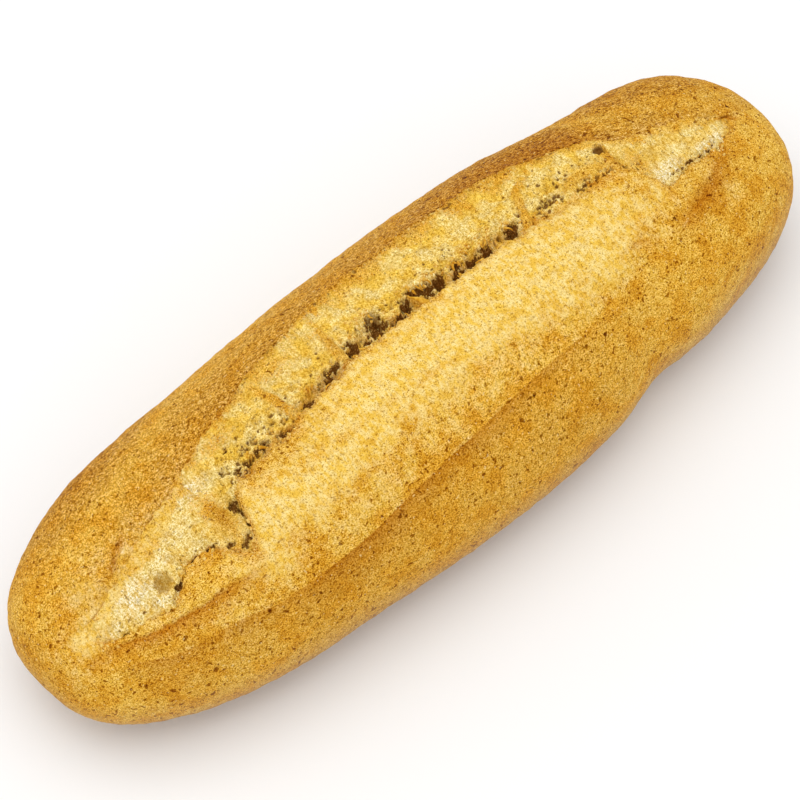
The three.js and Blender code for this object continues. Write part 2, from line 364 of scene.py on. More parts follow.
def crust_spans(split):
    """The spans round a ring: the angles each lies between, how its columns crowd, and its relief."""
    crease, crack, lip = (split["angles"][n] for n in ("crease", "crack", "lip"))
    under = np.full_like(crease, math.pi)
    side = np.full_like(crease, math.pi / 2)
    radius = WIDTH / 2
    bloom, depth, lift, opened = columns_of(split, "bloom", "depth", "lift", "open")
    bloom_width = (split["crack"] - split["crease"])[:, None]

    def flat(share):
        return np.zeros_like(crease * share)

    def below_crease(share):
        fade = np.exp(-(1 - share) * (crease + math.pi / 2) * radius / CREASE_FADE)
        return CREASE_STEP * np.minimum(1, bloom) * fade

    def over_bloom(share):
        return bloom_relief(bloom, depth, share, (1 - share) * bloom_width)

    def under_crumb(share):
        sunk = RECESS_START + (1 - RECESS_START) * smooth_step(share, 0, RECESS_FALL)
        return torn_relief(split, share) - RECESS * opened * sunk * smooth_step(1 - share, 0, RECESS_RISE)

    def past_lip(share):
        return lift * np.exp(-share * (math.pi / 2 - lip) * radius / LIFT_FADE)

    return (
        (-under, -side, lambda t: t, flat),
        (-side, crease, lambda t: 1 - (1 - t) ** SIDE_CROWDING, below_crease),
        (crease, crack, lambda t: 1 - (1 - t) ** BLOOM_CROWDING, over_bloom),
        (crack, lip, lambda t: 0.5 - 0.5 * np.cos(math.pi * t), under_crumb),
        (lip, side, lambda t: t ** SIDE_CROWDING, past_lip),
        (side, under, lambda t: t, flat),
    )


def grid_normals(points, around=False):
    """Outward normals of a grid of points, whose columns may run all the way round."""
    along = np.gradient(points, axis=0)
    if around:
        across = (np.roll(points, -1, axis=1) - np.roll(points, 1, axis=1)) / 2
    else:
        across = np.gradient(points, axis=1)
    normal = np.cross(along, across)
    return normal / np.maximum(np.linalg.norm(normal, axis=-1, keepdims=True), TINY)


def distance_to(along, across, path):
    """Plan distance from points to a path on the loaf's top, negative on the path's right, and the share of
    the path at the nearest place."""
    path = np.array(path, float)
    legs = np.linalg.norm(np.diff(path, axis=0), axis=1)
    start = np.concatenate(([0], np.cumsum(legs)))
    nearest = np.full(along.shape, np.inf)
    share = np.zeros(along.shape)
    for k, leg in enumerate(legs):
        step = (path[k + 1] - path[k]) / leg
        dx, dy = along - path[k, 0], across - path[k, 1]
        t = np.clip(dx * step[0] + dy * step[1], 0, leg)
        gap = np.hypot(dx - t * step[0], dy - t * step[1])
        side = np.where(dy * step[0] - dx * step[1] < 0, -1.0, 1.0)
        closer = gap < np.abs(nearest)
        nearest = np.where(closer, gap * side, nearest)
        share = np.where(closer, (start[k] + t) / start[-1], share)
    return nearest, share


def middle_shift():
    """How far across the plain form moves so that its box is centred, as the solid's is."""
    section = section_at(np.linspace(-LENGTH / 2, LENGTH / 2, SHIFT_STEPS))
    near = np.max(section["near"] - section["middle"])
    far = np.max(section["far"] + section["middle"])
    return (near - far) / 2


def add_object(name, data):
    """A new object in the scene."""
    thing = bpy.data.objects.new(name, data)
    bpy.context.scene.collection.objects.link(thing)
    return thing


def mesh_object(name, points, faces, zones, material):
    """A smooth mesh object in metres from points in millimetres, with its colour zones as point values."""
    mesh = bpy.data.meshes.new(name)
    mesh.from_pydata((points * MM).tolist(), [], faces)
    mesh.polygons.foreach_set("use_smooth", np.ones(len(mesh.polygons), bool))
    for zone, values in zones.items():
        layer = mesh.attributes.new(zone, "FLOAT", "POINT")
        layer.data.foreach_set("value", np.ascontiguousarray(values, np.float32).ravel())
    mesh.materials.append(material)
    mesh.update()
    return add_object(name, mesh)


# Relief of the skin, fine and broad: height and size. It fades out at the foot, between two heights
SKIN_HEIGHT = 0.24
SKIN_SIZE = 6.0
SKIN_BROAD = (0.5, 24.0)
SKIN_FOOT = (0.2, 4.0)
TOP_SLOPE = 0.3

# Folds and slits in the crust: a path of places along and across the loaf, how wide it is above and below
# the path, how deep and how dark
FOLDS = (
    (((-140, -14), (-132, -17), (-125, -21), (-116, -24), (-108, -26), (-98, -27), (-88, -29)),
     0.7, 2.6, 0.8, 1.0),
    (((86, -27), (94, -25), (103, -22), (109, -20), (115, -16), (123, -12)), 2.4, 3.6, 0.5, 0.9),
    (((-122, -1), (-117, 3), (-111, 6)), 0.7, 0.9, 1.7, 1.0),
    (((128, -3), (131, -4), (135, -6)), 0.5, 0.7, 0.7, 1.0),
    (((-80, -20), (-65, -19), (-56, -19), (-41, -18), (-6, -18), (13, -18), (40, -16), (65, -14)),
     0.6, 1.2, 0.2, 0.0),
    (((93, -31), (94, -28), (105, -25), (109, -27), (118, -28)), 0.7, 0.9, 0.15, 0.2),
    (((63, -23), (70, -23), (75, -24), (79, -22)), 0.4, 0.5, 0.25, 0.5),
)
FOLD_UNEVEN = (0.5, 2.4)
FOLD_MARGIN = 0.02
FOLD_SLOPE = 1.5

# Ridges of skin that still cross the torn crumb: path, half width, height
RIDGES = (
    (((-55, 20), (-53.5, 17), (-52.4, 12), (-51.3, 7), (-49.9, 1.2), (-48, -5)), 1.6, 1.0),
    (((-25, 20), (-25.6, 11), (-26.3, 4.4), (-23.5, 0)), 1.7, 1.1),
    (((60, 17), (54, 14), (51, 8), (49, 4), (44, -3)), 1.5, 0.9),
    (((-89.6, -3), (-88.3, -8), (-87.6, -13), (-87.2, -18)), 3.2, 1.5),
    (((66, 4.5), (72, 6), (79, 5.5), (86, 3)), 2.2, 0.6),
    (((88, 14), (86, 6), (85, -1), (87, -8)), 1.8, 0.7),
    (((3.2, 9), (3.8, 6.7), (4.6, 4.2)), 0.7, 1.6),
    (((4.2, 5.7), (5.2, 3.7), (6.0, 2.2)), 1.6, 1.6),
)

# Crevices in the torn crumb: path, half width, depth
CREVICES = (
    (((92, -12), (98, -11.5), (106, -11), (114, -11), (122, -8.5)), 0.4, 0.6),
    (((87.5, 6), (86.8, -1), (87.5, -6), (88.5, -9)), 0.4, 0.5),
    (((55, 4.5), (59, 4), (63, 4)), 0.8, 0.9),
    (((70, 2.5), (75, 2.5)), 0.9, 1.0),
)

# How a ridge and a crevice run: margin at the ends, height and size of the unevenness, squareness
RIDGE_STROKE = (0.06, 0.5, 2.2, 4)
CREVICE_STROKE = (0.05, 0.6, 1.6, 2)

# Pores in the torn crumb: from and to along the loaf, from and to between crack and lip, count, and radius
# from and to
PORES = (
    (-79, -50, -0.02, 0.32, 76, 0.25, 0.62),
    (-79, -50, 0.20, 0.55, 44, 0.22, 0.45),
    (-50, 48, 0.04, 0.45, 70, 0.25, 0.60),
    (54, 64, 0.05, 0.30, 16, 0.30, 0.70),
    (69, 75, 0.02, 0.16, 16, 0.30, 0.60),
    (79, 85, -0.02, 0.14, 16, 0.25, 0.55),
    (64, 87, 0.32, 0.60, 34, 0.25, 0.60),
    (50, 66, 0.35, 0.80, 26, 0.25, 0.50),
    (-126, -90, 0.00, 0.20, 16, 0.20, 0.45),
    (92, 124, 0.00, 0.10, 14, 0.18, 0.35),
    (-130, 128, 0.00, 0.95, 380, 0.18, 0.34),
)
# A pore's depth for its radius, its stretch along the loaf, how far crust spares it, and how dark its
# painted shade is: at least, and more for its radius
PORE_DEPTH = 0.9
PORE_STRETCH = (0.6, 1.5)
PORE_SPARED = 0.7
PORE_DARK = (0.4, 0.9)
# Sharpness of a border and its unevenness, of pores and of single holes
PORE_BORDER = (3, 0.35)
HOLE_BORDER = (10, 0.2)
PORE_GRAIN = 1.1
PORE_SEED = 71
# Holes that show singly: along, across, radius, depth, how dark their painted shade is
HOLES = (
    (86, 10, 1.8, 2.6, 1.0),
    (-112, -13.3, 2.8, 2.2, 0.5),
    (-10, 9.5, 2.6, 1.2, 0.6),
)

# Dark clusters of torn crumb in the crack, sunk and painted dark as shade: middle along and across, reach
# along and across, strength
SHADED_PIT_MARKS = (
    (-134, -10.5, 4, 1.6, 0.22), (-128.5, -16, 3, 1.3, 0.2), (-109, -17, 1.6, 1.1, 0.68),
    (-101, -14.4, 1.6, 0.7, 0.7), (-95.5, -15.4, 2.0, 0.8, 0.7), (-90.8, -18.4, 1.5, 1.0, 0.75),
    (-86, -20.4, 2.2, 1.3, 0.9), (-82.4, -16.8, 0.9, 1.4, 0.75), (-81.9, -13, 0.9, 1.6, 0.9),
    (-82.5, -10.4, 1.5, 1.8, 1.0), (-78, 1, 1.6, 1.6, 0.4), (-74, -2.8, 1.4, 1.1, 0.8),
    (-73, 5, 1.4, 1.2, 0.38), (-70.5, -2.8, 1.0, 1.2, 0.8), (-68, 2, 1.8, 1.4, 0.32),
    (-64, -1.4, 2.4, 1.1, 0.6), (-55, -2.8, 2.6, 1, 0.9), (-43, 0.5, 3.4, 0.9, 0.95),
    (-37, 1, 1.2, 0.7, 0.9), (-33, 2.5, 1.6, 2.2, 1.0), (-30, 4, 3, 0.9, 1.0),
    (-20.5, 5.8, 2.4, 2.2, 1.0), (-15.5, 5.3, 1.4, 1, 0.9), (-10.5, 8.8, 3.4, 1.8, 0.8),
    (-10.5, 6.5, 3.2, 1.8, 1.0), (-3, 4.5, 3.6, 0.9, 0.9), (1.5, 6.2, 1.8, 2, 1.0),
    (5.5, 8.3, 3.4, 1.6, 1.0), (10, 6.5, 2.2, 2, 1.0), (14.5, 6.2, 2.6, 1.8, 1.0),
    (21.7, 4.8, 2.2, 1.3, 1.0), (22, 7, 2.2, 1.5, 0.7), (27, 5.6, 2.4, 1.2, 0.8),
    (33, 5.4, 3.4, 1.8, 0.8), (44, 4.8, 3.2, 1.8, 1.0), (49, 6, 1.2, 2.4, 0.6), (59, 5.5, 5, 2, 0.26),
)

# How strongly the crust is browned past the lip, and down its far shoulder, at places along the loaf
FAR_TOAST = np.array((
    (-150, 0.1), (-95, 0.35), (-70, 0.46), (-40, 0.42), (20, 0.5), (60, 0.82), (80, 0.85), (88, 0.6),
    (96, 0.35), (110, 0.35), (126, 0.25),
))
SHOULDER_TOAST = np.array((
    (-150, 0.2), (-105, 0.55), (-60, 0.4), (-20, 0.25), (20, 0.2), (70, 0.25), (105, 0.5), (130, 0.45),
    (148, 0.2),
))
# How pale the swollen skin is, and how golden it is beside the crack
BLOOM_PALE = np.array((
    (-150, 0.0), (-120, 0.35), (-98, 0.45), (-78, 0.9), (-40, 1.0), (40, 1.0), (60, 0.95), (78, 0.6),
    (95, 0.35), (140, 0.0),
))
CRACK_GOLD = np.array(((-110, 0.7), (-80, 0.9), (-45, 0.9), (-30, 0.9), (46, 0.9), (56, 0.8), (92, 0.9)))
# How pale the skin is just past the lip, and how brown it is just below the crease
LIP_PALE = np.array((
    (-150, 0.0), (-140, 0.7), (-125, 0.6), (-90, 0.4), (-75, 0.1), (-60, 0.0), (84, 0.0), (96, 0.15),
    (130, 0.2), (140, 0.0),
))
RIDGE_TOAST = np.array((
    (-140, 0.5), (-118, 0.5), (-106, 0.45), (-90, 0.5), (-70, 0.75), (0, 0.65), (30, 0.45), (55, 0.12),
    (90, 0.0),
))
# How brown the near side is, at places along the loaf
SIDE_TOAST = np.array(((-150, 0.0), (-115, 0.05), (-70, 0.2), (30, 0.22), (60, 0.08), (90, 0.0)))

# Soft marks on the skin: middle along and across, reach along and across, strength
GOLD_MARKS = (
    (-64, -6, 17, 7, 1.0), (-43, -7, 8, 4, 0.6), (-56, -14, 9, 4, 0.5), (-43, -16, 8, 2.0, 0.5),
    (-27, -17, 9, 1.4, 0.5), (-9, -18, 9, 1.4, 0.4), (12, -18, 10, 1.4, 0.15), (4, 6, 3, 4, 1.0),
    (58, -4, 5, 2.5, 0.4), (82, 1, 9, 5, 0.6), (82, -9, 6, 3, 0.4), (-103, -21, 14, 5, 0.7),
    (-88, -24, 8, 4, 0.3), (-87.6, -11.5, 4, 9, 1.0),
)
PALE_MARKS = (
    (-103, -31, 8, 5, 0.35), (-76, -16, 5, 4, 0.6), (-138, -9, 7, 6, 0.8), (-128, 2, 12, 7, 0.45),
    (-115, 1.5, 5, 2.2, 0.8), (-82, -30, 13, 6, 0.65), (88, -14, 6, 4, 0.8), (108, -25, 8, 4, 0.3),
)
TOAST_MARKS = (
    (-122, -32, 11, 6, 0.22), (-62, -6, 16, 5, 0.2), (4, 6, 2, 3, 0.3), (-119, -2, 4, 2, 0.3),
    (-87.4, -10, 3.2, 7, 0.45), (-51.5, 8, 2.4, 9, 0.15), (-25.4, 9, 2.2, 8, 0.3), (52, 9, 2.6, 8, 0.2),
    (86, 3, 2.4, 5, 0.4),
)
# Darker marks under the left crease, in the fold colour
CREASE_DARK_MARKS = ((-122, -31, 12, 6, 0.24), (-130, -22, 6, 4, 0.2))

# Soft marks on the torn crumb, of the whitest crumb and of crust that stayed on it
WHITE_MARKS = (
    (-137, -8.5, 4, 3, 0.9), (-132, -13, 4, 2.5, 1.0), (-121, -10, 7, 6, 1.0),
    (-116.5, -16.5, 4, 2.5, 0.8), (-99, -5, 8, 5, 0.3), (-109, -8, 5, 4, 0.4), (-89, 2, 6, 3, 1.0),
    (95, -9.5, 3.5, 3.5, 1.0), (100.5, -9, 4, 2.5, 0.9), (114, -9, 5, 2, 0.8), (120.5, -8.5, 3, 2, 0.9),
)
CRUST_MARKS = (
    (-87.6, -11.5, 3.2, 9, 1.0), (-119, -2.5, 4, 2.5, 0.9), (-109, -0.5, 3, 3, 0.9),
    (-46, 17.5, 9, 4, 0.9), (-72, 9, 8, 3, 0.6), (75, 6, 9, 2.5, 0.8), (86, 2, 2.5, 6, 0.8),
    (91, -3, 3, 6, 0.9),
)

# How the crust's colours spread from crack, lip and crease
GOLD_FADE = 3.8
GOLD_UNEVEN = (0.5, 3.6)
LIP_PALE_FADE = 5.0
FAR_TOAST_REACH = 22.0
RIDGE_TOAST_FADE = 6.0
SEAM_FADE = 3.0
EDGE_REACH = 0.4
LIP_GAP_REACH = 0.9
FRINGE_REACH = 0.9
# The swollen skin pales in two steps from the crease: share of the first, and from and to of both
FIRST_PALING = 0.3
FIRST_PALING_RUN = (0.0, 0.1)
SECOND_PALING_RUN = (0.2, 0.7)
# On the right it pales sooner
SOONER_PALING = 0.2
SOONER_RUN = (0, 50)
# The far shoulder browns from and to these distances past the lip, and nearer to it on the right
SHOULDER_RUN = (8, 34)
SHOULDER_NEARER = (4, 14)
SHOULDER_RIGHT = (80, 110)
# A brown seam past the lip: middle and spread along the loaf, and strength
SEAM = (-66, 20, 0.6)
TIP_TOAST = 0.3
TIP_RUN = (142, 150)
RIDGE_FOLD = 0.35
# Share of the fold colour painted as shade in the gaps along the lip
LIP_GAP_FOLD = 0.8
# Spots that break up the crease's edge, pale flakes partly painted as a highlight, and the lip, with gaps
# of painted shade: size of the noise, and levels between which they grow
EDGE_SPOTS = ((5.0, 3.0, 3.0), 0.15, 0.5)
LIP_GAP_SPOTS = ((2.2, 1.6, 1.6), 0.0, 0.35)
LIP_GAP_LIFT = 1.5
FRINGE_DEPTH = 3.0
# The dull grey band low on the sides, partly a floury base and partly painted shade and painted reflection:
# from and to in height, and how much higher it reaches on the right
LOW_BAND = (1.0, 32.0)
LOW_HIGHER = 12.0
LOW_RIGHT = (50, 110)

# Torn crumb: heaps, fibres (height and size of each), how the crumb meets the lip and dives under the skin
HEAP_HEIGHT = 0.8
HEAP_SIZE = (7.0, 6.0, 6.0)
HEAP_MARGIN = 0.01
HEAP_POWER = 0.6
FIBRES = ((0.30, (1.3, 5.0, 5.0)), (0.20, (0.9, 1.8, 1.8)))
FIBRE_END = 1.02
FIBRE_FADE = 0.1
FULL_LIFT = 2.0
LIP_STEP = 0.45
LIP_RISE = 0.15
LIP_STEP_RUN = (0.9, 1.0)
END_DROP = 1.6
DIVE = 1.5
DIVE_EARLY = 0.02
FRAY = (0.05, 2.6)
# Where the torn ends begin, along the loaf
RIGHT_END = (86, 94)
LEFT_END = (79, 87)
# Cavities near the crack: how far they reach, their size and levels, depth, and how dark their painted shade
# is
CAVITY_REACH = 0.62
CAVITY_FADE = 0.5
CAVITY_GRAIN = (1.9, 1.5, 1.5)
CAVITY_LEVELS = (0.2, 0.5)
CAVITY_DEPTH = 1.0
CAVITY_DARK = 0.65
CAVITY_AT_ENDS = 0.7
# Dark clusters, sunk and darkened with painted shade: size of their ragged border, how far it moves, the
# levels of the painted deep shade and of the painted shade round it, and the depth
CLUSTER_GRAIN = (1.8, 1.3, 1.3)
CLUSTER_SOFT = 0.3
DEEP_RAGGED = 0.6
DEEP_LEVELS = (0.34, 0.48)
DEEP_SINK = 1.3
SHADE_RAGGED = 0.4
SHADE_LEVELS = (0.05, 0.6)
CREVICE_LEVELS = (-0.35, 0.05)
# Crust that stays on the crumb by the lip: how strong, from and to between crack and lip, sooner on the
# right, later on the crisp stretch at the left, and how patches and fibres move its border
PATCH_SIZE = 9.0
LIP_CRUST = 0.8
LIP_CRUST_RUN = (0.7, 0.94)
LIP_CRUST_RIGHT = 0.05
LIP_PATCHES = 0.22
LIP_FIBRES = 0.3
CRISP_SHIFT = 0.1
CRISP_LEFT = (44, 56)
# Crust that stays by the crack where that is shallow: how far it covers, more at the turn on the right and
# less at both ends, and how its border moves
SHALLOW = (1.0, 2.0)
COVER = 0.1
COVER_TURN = 0.15
COVER_LESS = 0.2
COVER_LEFT = (120, 130)
RIGHT_TURN = (88, 4.5)
BORDER = 0.7
BORDER_PATCHES = 0.2
BORDER_GRAIN = (0.15, 2.4)
# Dots of painted shade along the lip, the brown of the lip, and the white of the ends
DOT_SPOTS = ((1.8, 1.4, 1.4), 0.2, 0.5)
DOT_BAND = (0.97, 0.04)
DOT_DARK = 0.7
LIP_TOAST = 0.4
LIP_TOAST_RUN = (0.82, 1.0)
END_WHITE = 0.15

# Strands: margins at the split's ends, tries for each, depths at which they grow, how far back from the
# crack they start, how far out the hanging ones root, and their reach, drop, sag, lean, bend and form
STRAND_MARGINS = (12, 10)
STRAND_TRIES = 12
STRAND_DEPTHS = (1.5, 5.0)
STRAND_BACK = (0.4, 1.3)
STRAND_MOUTH = 1.2
STRAND_ROOT = (0.95, 1.3)
STRAND_CLEARANCE = 0.1
STRAND_REACH = (0.6, 2.2)
STRAND_DEEPEST = 3.0
STRAND_DROP = (0.1, 0.6)
STRAND_SAG = 0.35
STRAND_SLACK = (0.2, 1.0)
STRAND_LEAN = 1.2
STRAND_BEND = 0.4
STRAND_TAPER = 0.8
STRAND_UNEVEN = (0.4, 0.9)
STRAND_RADII = (0.45, 1.0)
STRAND_TIP = 0.35
TUFT_END = 0.06
STRAND_SEED = 97

# Loose crumbs: unevenness, how far apart they lie in the noise, stretch, lift off the skin, spread of size
LUMP_UNEVEN = (0.45, 0.8)
LUMP_APART = 7.0
LUMP_STRETCH = (0.55, 1.35)
LUMP_LIFT = 0.1
LUMP_RADII = (0.3, 1.0)
LUMP_SKEW = 1.5
LUMP_SEED = 113
# Where they cling: just past the crack's mouth, less where that is shallow, and a few by the lip
CLING_MOUTH = (1.1, 0.06)
CLING_DEPTH = 6.0
CLING_LEAST = 0.05
CLING_LIP = (0.97, 0.03)
CLING_LIP_SHARE = 0.06


def strongest(*zones):
    return functools.reduce(np.maximum, zones)


def marked(marks, along, across):
    """The strongest of some soft marks at points."""
    return strongest(*(m[4] * bell(along, m[0], m[2]) * bell(across, m[1], m[3]) for m in marks))


def along_loaf(table, along):
    """Values of a table of places along the loaf."""
    return np.interp(along, *table.T)


def path_fade(run, margin, power=0.5):
    """Fades a stroke out towards both ends of its path."""
    return np.sin(math.pi * np.clip(run, margin, 1 - margin)) ** power


def carve_folds(points, top):
    """How deep and how dark the folds and slits are at the crust's points."""
    carve = np.zeros(top.shape)
    fold = np.zeros(top.shape)
    for path, above, under, depth, dark in FOLDS:
        gap, run = distance_to(points[..., 0], points[..., 1], path)
        gap = gap + SKIN.scaled(points, *FOLD_UNEVEN)
        sharp, soft = np.exp(-((gap / above) ** 2)), np.exp(-np.abs(gap / under) ** FOLD_SLOPE)
        stroke = np.where(gap > 0, sharp, soft) * path_fade(run, FOLD_MARGIN) * top
        carve = np.maximum(carve, depth * stroke)
        fold = np.maximum(fold, dark * stroke)
    return carve, fold


@functools.cache
def crust_grid():
    """The crust's grid of points, ring by ring from the middle of the sole, and its colour zones."""
    along = ring_places(CRUST_RINGS + 2)[1:-1]
    split = split_at(along)
    angles, reliefs, shares = [], [], []
    for count, (start, end, crowd, relief) in zip(SPAN_COLUMNS, crust_spans(split)):
        share = crowd(np.arange(count) / count)[None]
        angles.append(start + (end - start) * share)
        reliefs.append(relief(share))
        shares.append(share)
    angle, relief, share = (np.concatenate(parts, axis=1) for parts in (angles, reliefs, shares))
    span = np.repeat(np.arange(len(SPAN_COLUMNS)), SPAN_COLUMNS)[None]
    points, _ = over_section(along[:, None], section_at(along), angle, relief)
    points[..., 2] = np.maximum(points[..., 2], 0)
    normal = grid_normals(points, around=True)
    top = smooth_step(normal[..., 2], 0, TOP_SLOPE)
    standing = smooth_step(points[..., 2], *SKIN_FOOT)
    carve, fold = carve_folds(points, top)
    skin = SKIN_HEIGHT * SKIN.fine(points, SKIN_SIZE) + SKIN.scaled(points, *SKIN_BROAD)
    points = points + normal * (skin * standing - carve)[..., None]
    points[..., 2] = np.maximum(points[..., 2], 0)
    return points, crust_zones(points, split, share, span, top, fold)


def crust_zones(points, split, share, span, top, fold):
    """How strongly each colour of the crust shows at its points."""
    x, y, z = np.moveaxis(points, -1, 0)
    crease, crack, lip = columns_of(split, "crease", "crack", "lip")
    depth, lift, opened = columns_of(split, "depth", "lift", "open")
    off_crease, off_crack, off_lip = (np.abs(y - edge) for edge in (crease, crack, lip))
    near_side, bloom, far_side = (span == kind for kind in (NEAR_SIDE, BLOOM, FAR_SIDE))
    beyond = span >= FAR_SIDE

    gold = along_loaf(CRACK_GOLD, x) * np.exp(-off_crack / GOLD_FADE)
    gold = np.maximum(gold, marked(GOLD_MARKS, x, y)) * (1 + SKIN.scaled(points, *GOLD_UNEVEN))
    sooner = SOONER_PALING * smooth_step(x, *SOONER_RUN)
    start, end = SECOND_PALING_RUN
    swollen = FIRST_PALING * smooth_step(share, *FIRST_PALING_RUN)
    swollen = swollen + (1 - FIRST_PALING) * smooth_step(share, start - sooner, end - sooner)
    pale = along_loaf(BLOOM_PALE, x) * swollen * np.clip(1 - gold, 0, 1) * bloom
    lip_pale = along_loaf(LIP_PALE, x)
    pale = np.maximum(pale, lip_pale * np.exp(-off_lip / LIP_PALE_FADE) * far_side)
    pale = np.where(span == UNDER_CRUMB, lip_pale, pale)
    pale = np.maximum(pale, marked(PALE_MARKS, x, y) * top)

    far = along_loaf(FAR_TOAST, x) * bell(off_lip, 0, FAR_TOAST_REACH) * far_side
    rightward = smooth_step(x, *SHOULDER_RIGHT)
    start, end = (place - nearer * rightward for place, nearer in zip(SHOULDER_RUN, SHOULDER_NEARER))
    shoulder = along_loaf(SHOULDER_TOAST, x) * beyond * smooth_step(off_lip, start, end)
    ridge = along_loaf(RIDGE_TOAST, x) * opened * np.exp(-off_crease / RIDGE_TOAST_FADE) * near_side
    flank = along_loaf(SIDE_TOAST, x) * (span <= NEAR_SIDE)
    tips = TIP_TOAST * smooth_step(np.abs(x), *TIP_RUN)
    seam = SEAM[2] * bell(x, *SEAM[:2]) * np.exp(-off_lip / SEAM_FADE) * far_side
    toast = strongest(far, shoulder, ridge, flank, tips, seam, marked(TOAST_MARKS, x, y) * top)

    # Pale spots on the crease's edge are partly flakes, partly a painted highlight; the dark gaps along the
    # raised lip are painted shade
    edge = SKIN.spots(points, *EDGE_SPOTS) * opened * bell(off_crease, 0, EDGE_REACH) * (near_side | bloom)
    gaps = SKIN.spots(points, *LIP_GAP_SPOTS) * bell(off_lip, 0, LIP_GAP_REACH) * far_side
    gaps = gaps * np.clip(lift / LIP_GAP_LIFT, 0, 1)
    fold = strongest(fold, LIP_GAP_FOLD * gaps, RIDGE_FOLD * ridge, marked(CREASE_DARK_MARKS, x, y) * top)
    # Low on the sides: a floury base, with painted shade and painted reflection
    low = 1 - smooth_step(z, LOW_BAND[0], LOW_BAND[1] + LOW_HIGHER * smooth_step(x, *LOW_RIGHT))
    back = (1 - share) * (crack - crease)
    fringe = bell(back, FRINGE_REACH, FRINGE_REACH) * np.clip(depth / FRINGE_DEPTH, 0, 1) * bloom
    return {
        "pale": pale, "toast": toast, "far": toast * beyond, "fold": fold, "edge": edge, "low": low,
        "fringe": fringe,
    }


def grid_quads(rings, columns, around=False):
    """Quads between the points of a grid, whose columns may run all the way round."""
    i, j = np.meshgrid(np.arange(rings - 1), np.arange(columns if around else columns - 1), indexing="ij")
    here, after = i * columns, (i + 1) * columns
    beside = (j + 1) % columns
    return np.stack((here + j, after + j, after + beside, here + beside), -1).reshape(-1, 4)


def closed_rings(rings, columns):
    """Faces of a tube of rings, and fans to a first and a last point that close its ends."""
    faces = grid_quads(rings, columns, around=True).tolist()
    first, last = rings * columns, rings * columns + 1
    final = (rings - 1) * columns
    for k in range(columns):
        beside = (k + 1) % columns
        faces.append((first, k, beside))
        faces.append((last, final + beside, final + k))
    return faces


def strokes(points, paths, manner):
    """For each path over the crumb: its height or depth, and how near the points lie to it, from 0 to 1."""
    margin, uneven, size, squareness = manner
    for path, half_width, height in paths:
        gap, run = distance_to(points[..., 0], points[..., 1], path)
        gap = np.abs(gap) + TORN.scaled(points, uneven, size)
        yield height, np.exp(-((gap / half_width) ** squareness)) * path_fade(run, margin)


def torn_ends(x):
    """How far places lie in the right torn end, and in either."""
    right = smooth_step(x, *RIGHT_END)
    return right, np.maximum(smooth_step(-x, *LEFT_END), right)


@functools.cache
def crumb_grid():
    """The torn crumb's points from crack to lip, their outward directions, its split and its zones."""
    along = np.linspace(SPLIT[0, 0], SPLIT[-1, 0], CRUMB_RINGS)
    split = split_at(along)
    share = np.linspace(CRUMB_START, CRUMB_END, CRUMB_COLUMNS)[None]
    crack, lip = split["angles"]["crack"], split["angles"]["lip"]
    opened, lift = columns_of(split, "open", "lift")
    raised = np.clip(lift / FULL_LIFT, 0, 1)
    step = (LIP_STEP * raised - LIP_RISE) * smooth_step(share, *LIP_STEP_RUN)
    relief = torn_relief(split, share) - step - END_DROP * (1 - opened)
    points, outward = over_section(along[:, None], section_at(along), crack + (lip - crack) * share, relief)
    early = (DIVE_EARLY + TORN.scaled(points, *FRAY)) * (1 - raised)
    dive = DIVE * np.clip((share - 1 + early) / (CRUMB_END - 1), 0, 1)
    points = points - outward * dive[..., None]
    change, fibres, zones = crumb_relief(points, along, share, opened)
    torn = points + outward * change[..., None]
    crumb_zones(zones, points, torn, np.clip(share, 0, 1), fibres, split)
    return torn, outward, split, zones


def crumb_relief(points, along, share, opened):
    """How far the torn crumb rises at its points, the part of its fibres in that, and its first zones."""
    x, y = points[..., 0], points[..., 1]
    inside = np.clip(share, 0, 1)
    middle = path_fade(inside, HEAP_MARGIN, HEAP_POWER)
    heaps = HEAP_HEIGHT * TORN.fine(points, HEAP_SIZE) * middle
    fibres = sum(TORN.scaled(points, *fibre) for fibre in FIBRES)
    change = opened * (heaps + fibres * smooth_step(FIBRE_END - share, 0, FIBRE_FADE))
    crusted = np.zeros(x.shape)
    for height, stroke in strokes(points, RIDGES, RIDGE_STROKE):
        change = change + height * stroke
        crusted = np.maximum(crusted, stroke)
    _, ends = torn_ends(x)
    near_crack = smooth_step(CAVITY_REACH - inside, 0, CAVITY_FADE) * (1 - crusted)
    near_crack = near_crack * (1 - CAVITY_AT_ENDS * ends)
    cavity = smooth_step(TORN.fine(points, CAVITY_GRAIN, 2), *CAVITY_LEVELS) * near_crack
    # Painted shade: the dark clusters sink the crumb, paint it dark, and dull the crumb round them
    dark = marked(SHADED_PIT_MARKS, x, y)
    ragged = TORN.fine(points, CLUSTER_GRAIN, 2)
    border = ragged * smooth_step(dark, 0, CLUSTER_SOFT)
    deep_shade = smooth_step(dark + DEEP_RAGGED * border, *DEEP_LEVELS) * (1 - crusted)
    shade = smooth_step(dark + SHADE_RAGGED * border, *SHADE_LEVELS) * (1 - crusted)
    change = change - CAVITY_DEPTH * cavity * opened - DEEP_SINK * deep_shade
    crevice = np.zeros(x.shape)
    for depth, stroke in strokes(points, CREVICES, CREVICE_STROKE):
        change = change - depth * stroke
        crevice = np.maximum(crevice, stroke)
    # Painted shade of the pores and of the cavities by the crack
    pore_shade = np.maximum(carve_pores(along, y, share, change, crusted), CAVITY_DARK * cavity)
    deep_shade = np.maximum(deep_shade, crevice * smooth_step(ragged, *CREVICE_LEVELS))
    return change, fibres, {"crusted": crusted, "deep_shade": deep_shade, "shade": shade, "pore_shade": pore_shade}


